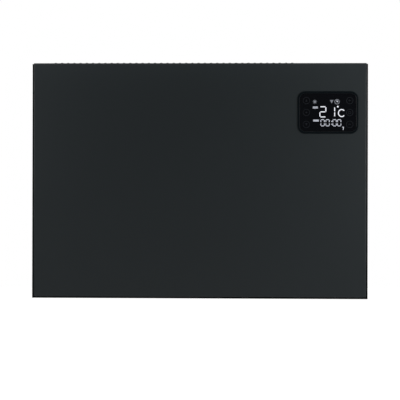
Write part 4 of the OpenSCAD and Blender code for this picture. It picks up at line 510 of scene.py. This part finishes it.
# LED display and touch pads: the display is a black potted block with a pale diffuser towards the glass,
# and the pads are carbon-filled foam blocks pressed between the board and the glass.
diffuser = surface("opal_polycarbonate", "#c9ccd2", 0.5, cloud=(8, 0.03), grain=(0.5, 0.03), relief=0.004, IOR=1.58)
potted_black = surface("black_epoxy", "#16181b", 0.25, cloud=(10, 0.05), grain=(0.8, 0.04), relief=0.004, IOR=1.55)
LED_FACE = (198, -79.2, 96), (260, -78.8, 148)
shell("led_display", "led_block", "heater", potted_black, 0.4, inlays=[(diffuser, *LED_FACE)])
foam = surface("conductive_foam", "#232427", 0.9, cloud=(5, 0.08), grain=(0.6, 0.25), relief=0.12,
               Specular_IOR_Level=0.15)
coat(foam, "touch_pads")

# Power parts: relays in blue thermoset, capacitors in black sleeve with a bare aluminium top, and a transformer
# with a dark laminated core round a coil wrapped in yellow tape.
relay_blue = surface("moulded_pbt_blue", "#213657", 0.3, cloud=(10, 0.03), grain=(0.5, 0.04), relief=0.006, IOR=1.53)
shell("relays", "relay_blocks", "heater", relay_blue, 0.5)
can_top = surface("etched_aluminium", "#b9bcbf", 0.4, metallic=1.0, cloud=(4, 0.05), grain=(0.3, 0.06), relief=0.008)
sleeve = surface("shrink_sleeve_dark", "#1d2126", 0.34, cloud=(8, 0.05), grain=(0.6, 0.04), relief=0.006)
CAN_ENDS = (240, -43, -18), (251, -42.5, 20)
shell("capacitors", "capacitor_cans", "heater", sleeve, 0.5, inlays=[(can_top, *CAN_ENDS)])
core_steel = surface("laminated_core", "#34363a", 0.45, metallic=0.8, cloud=(6, 0.06), grain=(0.5, 0.3), relief=0.05,
                     stretch=(0.02, 1, 0.02))
coil_tape = surface("polyester_tape_yellow", "#c2a044", 0.38, cloud=(5, 0.06), grain=(1.2, 0.08), relief=0.02,
                    stretch=(0.1, 1, 1))
COIL = (201, -53, -2), (226, -47.7, 18)
shell("transformer", "transformer_block", "heater", core_steel, 0.4, inlays=[(coil_tape, *COIL)])

# Ribbon cable: flat grey PVC with its wires 1.27 mm apart, between the power board and the display board.
# Each wire shows as a low ridge, and so as a pale and dark line.
WIRE_PITCH_MM = 1.27
ribbon, ribbed = empty_material("ribbed_pvc_grey")
ribbon_place = add(ribbed, "ShaderNodeTexCoord")
wires = add(ribbed, "ShaderNodeTexWave", {"bands_direction": "X", "Scale": math.pi / 10 / (WIRE_PITCH_MM / 1000)},
            {"Vector": ribbon_place.outputs["Object"]})
wire_tone = add(ribbed, "ShaderNodeMapRange", {"To Min": 0.6, "To Max": 1.0}, {"Value": wires.outputs["Fac"]})
ridges = add(ribbed, "ShaderNodeBump", {"Strength": 0.8, "Distance": 0.0003}, {"Height": wires.outputs["Fac"]})
ribbon_shader = add(ribbed, "ShaderNodeBsdfPrincipled", {"Roughness": 0.45, "IOR": 1.53},
                    {"Base Color": toned(ribbed, "#9c9fa4", wire_tone.outputs[0]), "Normal": ridges.outputs[0]})
add(ribbed, "ShaderNodeOutputMaterial", {}, {"Surface": ribbon_shader.outputs[0]})
coat(ribbon, "ribbon_cable")

# Wall brackets: two channels pressed from 1.5 mm steel, powder coated dark grey, screwed to the wall.
# The hooks on their flanges reach through the slots in the back sheet.
bracket_coat = surface("powder_coat_dark_grey", "#2b2d30", 0.5, cloud=(70, 0.05), grain=(0.9, 0.06), relief=0.018)
for hand in ("left", "right"):
    shell("wall_bracket_" + hand, "hook_channel_" + hand, "wall_mount", bracket_coat, 0.25)

# Bumpers and grommet: moulded black rubber, snapped into the back sheet and the partition by barbs.
# The rubber is dull, with a bloom that greys it a little in patches.
black_rubber = surface("moulded_rubber", "#141414", 0.78, cloud=(9, 0.1), grain=(0.5, 0.1), relief=0.02,
                       Specular_IOR_Level=0.3)
shell("wall_bumpers", "bumper_feet", "heater", black_rubber, 0.5)
coat(black_rubber, "wire_grommet")

# Rating plate: satin aluminium foil, bonded to the back sheet. Here it is blank, with a printed border and rules.
# The foil is brushed along its length.
foil = surface("satin_foil", "#b9bcc0", 0.36, metallic=1.0, cloud=(20, 0.04), grain=(0.35, 0.1), relief=0.006,
               stretch=(0.03, 1, 1))
shell("rating_plate", "foil_plate", "heater", foil, 0.08, steps=1)
PLATE_MIDDLE = (0, -0.0157, -0.1505)
RULE, RULE_U, RULE_V = 0.7, 41.0, 21.0
plate_lines = [stroke([(-RULE_U, v), (RULE_U, v)], RULE) for v in (-RULE_V, -RULE_V / 3, RULE_V / 3, RULE_V)]
plate_lines += [stroke([(u, -RULE_V - RULE / 2), (u, RULE_V + RULE / 2)], RULE)
                for u in (-RULE_U - RULE / 2, RULE_U + RULE / 2)]
plate_ink = surface("screen_print_black", "#1b1c1f", 0.45, cloud=(15, 0.05), grain=(0.4, 0.08), relief=0.003)
on_face("plate_lines", plate_lines, PLATE_MIDDLE, (-1, 0, 0), (0, 0, 1), "heater", plate_ink,
        proud=0.03, sunk=0.03)

# Rocker switch: nylon housing snapped into the side wall, and a glossy rocker with the usual line and ring printed
# on its two faces. The faces meet in a shallow V, and tilt by the rocker's 7 degrees.
housing_nylon = surface("moulded_nylon_black", "#131416", 0.42, cloud=(10, 0.04), grain=(0.45, 0.07), relief=0.01,
                        IOR=1.53)
gloss_nylon = surface("polished_nylon_black", "#0c0d0e", 0.16, cloud=(12, 0.03), grain=(0.8, 0.03), relief=0.002,
                      rough_spread=0.02, IOR=1.53)
SWITCH_BLADES = (269, -36, -157), (277.9, -28, -123)
shell("switch_housing", "switch_frame", "heater", housing_nylon, 0.35,
      inlays=[(brass, *SWITCH_BLADES)])
shell("power_rocker", "rocker_cap", "rocker", gloss_nylon, 0.3, steps=3)
PIVOT = (0.297, -0.032, -0.140)
FACE_OUT, MARK_V = 4.0, 6.0
lean = math.radians(7)
pad_print = surface("pad_print_white", "#d9dad6", 0.5, cloud=(6, 0.04), grain=(0.3, 0.06), relief=0.003)


def rocker_point(u, v):
    """A point of the rocker's section after its 7 degree tilt, in metres: x = u cos a - v sin a and
    z = u sin a + v cos a from the pivot, with u and v in millimetres."""
    return (PIVOT[0] + (u * math.cos(lean) - v * math.sin(lean)) / 1000, PIVOT[1],
            PIVOT[2] + (u * math.sin(lean) + v * math.cos(lean)) / 1000)


upper = rocker_point(FACE_OUT + MARK_V * math.tan(lean), MARK_V)
lower = rocker_point(FACE_OUT + MARK_V * math.tan(lean), -MARK_V)
on_face("rocker_line", [stroke([(0, -1.9), (0, 1.9)], 0.9)], upper, (0, 1, 0), (0, 0, 1), "rocker",
        pad_print, proud=0.04)
on_face("rocker_ring", [ring((0, 0), 1.8, 0.8)], lower, (0, 1, 0), (-math.sin(2 * lean), 0, math.cos(2 * lean)),
        "rocker", pad_print, proud=0.04)

# Cord bush: soft black PVC with a flange outside the bottom sheet and a barbed collar inside; the cord is not shown.
# It is slightly glossier than the rubber. Above it stand the cord's clamp and the terminal block, moulded in white
# nylon; the block's plated screws show at the bottom of its holes.
soft_pvc = surface("soft_pvc_black", "#161617", 0.55, cloud=(8, 0.05), grain=(0.5, 0.06), relief=0.012)
shell("cord_bush", "bush_collar", "heater", soft_pvc, 0.4)
shell("cord_clamp", "cord_saddle", "heater", white_nylon, 0.4)
BLOCK_SCREWS = (185, -29.1, -140), (227, -28.9, -116)
shell("terminal_block", "clamp_block", "heater", white_nylon, 0.3,
      inlays=[(zinc_plate, *BLOCK_SCREWS)])

# Leads: glass-braided silicone inside the hot chamber, PVC in the electronics bay, and green-yellow PVC on the earth.
# The braid shows as a deep grain of 1.2 mm; the earth's stripes, about 5 mm apart, run slantwise round its lead.
braid = surface("glass_braid_cream", "#cfc8b6", 0.72, cloud=(6, 0.06), grain=(1.2, 0.16), relief=0.1)
pvc_brown, pvc_blue, pvc_grey = [
    surface("pvc_sleeve_" + dye, colour, 0.42, cloud=(6, 0.05), grain=(0.5, 0.04), relief=0.008)
    for dye, colour in (("brown", "#5f4029"), ("blue", "#2f5f9e"), ("grey", "#45484c"))]
NEUTRAL_LEAD = (204, -46.5, -117.1), (237.5, -26, -83)
EARTH_TAG = (230, -22.4, -163), (242, -19, -150)
coat(braid, "element_leads")
shell("mains_leads", "bay_leads", "heater", pvc_brown, 0.05, steps=1, angle=60,
      inlays=[(pvc_blue, *NEUTRAL_LEAD)])
coat(pvc_grey, "sensor_lead")
earth_pvc, striped = empty_material("pvc_sleeve_green_yellow")
earth_place = add(striped, "ShaderNodeTexCoord")
stripes = add(striped, "ShaderNodeTexWave", {"bands_direction": "DIAGONAL", "Scale": 60.0, "Distortion": 0.4},
              {"Vector": earth_place.outputs["Object"]})
dyes = add(striped, "ShaderNodeValToRGB", {}, {0: stripes.outputs["Fac"]})
dyes.color_ramp.interpolation = "CONSTANT"
dyes.color_ramp.elements[0].color = linear("#3f8a35")
dyes.color_ramp.elements[1].position = 0.62
dyes.color_ramp.elements[1].color = linear("#c9bd3a")
earth_shader = add(striped, "ShaderNodeBsdfPrincipled", {"Roughness": 0.42, "IOR": 1.53},
                   {"Base Color": dyes.outputs[0]})
add(striped, "ShaderNodeOutputMaterial", {}, {"Surface": earth_shader.outputs[0]})
shell("earth_lead", "earth_wire", "heater", earth_pvc, 0.05, steps=1, angle=60,
      inlays=[(zinc_plate, *EARTH_TAG)])
coat(brass, "earth_nut")

# Heat chamber: a finned extrusion pressed round a stainless sheathed rod, with steatite bushes in its end brackets.
# The extrusion is mill finish with die lines along it, and the rod is drawn and slightly straw-coloured.
fin_alloy = surface("extruded_aluminium", "#b0b3b5", 0.38, metallic=1.0, cloud=(25, 0.05), grain=(0.6, 0.12),
                    relief=0.02, stretch=(0.02, 1, 1))
drawn_steel = surface("drawn_stainless", "#8f8b83", 0.34, metallic=1.0, cloud=(18, 0.06), grain=(0.4, 0.1),
                      relief=0.01, stretch=(0.03, 1, 1))
steatite = surface("steatite_ceramic", "#e3dfd2", 0.6, cloud=(7, 0.04), grain=(0.6, 0.06), relief=0.02, IOR=1.6)
shell("element_fins", "fin_extrusion", "heater", fin_alloy, 0.15)
coat(drawn_steel, "element_rod")
coat(steatite, "element_insulators", "shield_spacers")
LEFT_COLLAR = (-282.1, -53, -126), (-277.9, -43, -115)
RIGHT_COLLAR = (149.9, -53, -126), (154.1, -43, -115)
shell("element_terminals", "rod_terminals", "heater", brass, 0.1,
      inlays=[(steatite, *LEFT_COLLAR), (steatite, *RIGHT_COLLAR)])

# Sheet parts: galvanised steel with a spangle of crystals 6 mm wide, for the partition and the brackets, and bright
# aluminised steel for the two heat shields. All are bent from flat blanks and screwed or hooked in.
galvanised = surface("galvanised_steel", "#a9adb1", 0.36, metallic=1.0, cloud=(30, 0.09), grain=(0.8, 0.05),
                     relief=0.01, cells=6.0)
aluminised = surface("aluminised_steel", "#c2c5c8", 0.26, metallic=1.0, cloud=(30, 0.05), grain=(0.9, 0.05),
                     relief=0.012, cells=1.5)
shell("partition_plate", "partition_sheet", "heater", galvanised, 0.15)
coat(galvanised, "element_bracket_left", "element_bracket_right", "cutout_bracket")
shell("rear_shield", "back_shield", "heater", aluminised, 0.15)
shell("front_shield", "panel_shield", "heater", aluminised, 0.15)

# Thermal cut-out: a black phenolic disc with two tinned blades, in its bracket in the warm air.
# Phenolic moulds with a slight gloss and a faint mottle.
phenolic = surface("moulded_phenolic_black", "#1b1b1c", 0.36, cloud=(5, 0.1), grain=(0.5, 0.05), relief=0.006,
                   IOR=1.6)
UPPER_BLADE = (149, -60, -54.4), (159, -42, -46)
LOWER_BLADE = (149, -60, -79), (159, -42, -70.6)
shell("thermal_cutout", "cutout_disc", "heater", phenolic, 0.3,
      inlays=[(tinned_can, *UPPER_BLADE), (tinned_can, *LOWER_BLADE)])

# Tilt switch and probe: a steel pendulum hangs on its pin between a moulded housing and cover, above a glass reed
# switch; the probe is a dark epoxy bead in a stainless sleeve.
turned_steel = surface("turned_steel", "#84878a", 0.3, metallic=1.0, cloud=(8, 0.05), grain=(0.3, 0.1), relief=0.008,
                       stretch=(1, 0.1, 0.1))
reed_glass = surface("reed_glass_green", "#93ab9a", 0.08, cloud=(4, 0.04), grain=(0.5, 0.03), relief=0.0,
                     rough_spread=0.01, IOR=1.52, Transmission_Weight=0.55)
epoxy_bead = surface("epoxy_dark", "#20242b", 0.3, cloud=(5, 0.05), grain=(0.4, 0.04), relief=0.006)
shell("tilt_housing", "tilt_case", "heater", black_abs, 0.4)
shell("tilt_cover", "tilt_lid", "heater", black_abs, 0.5)
shell("tilt_pendulum", "pendulum_bob", "pendulum", turned_steel, 0.4)
coat(reed_glass, "reed_switch")
coat(epoxy_bead, "temperature_probe")
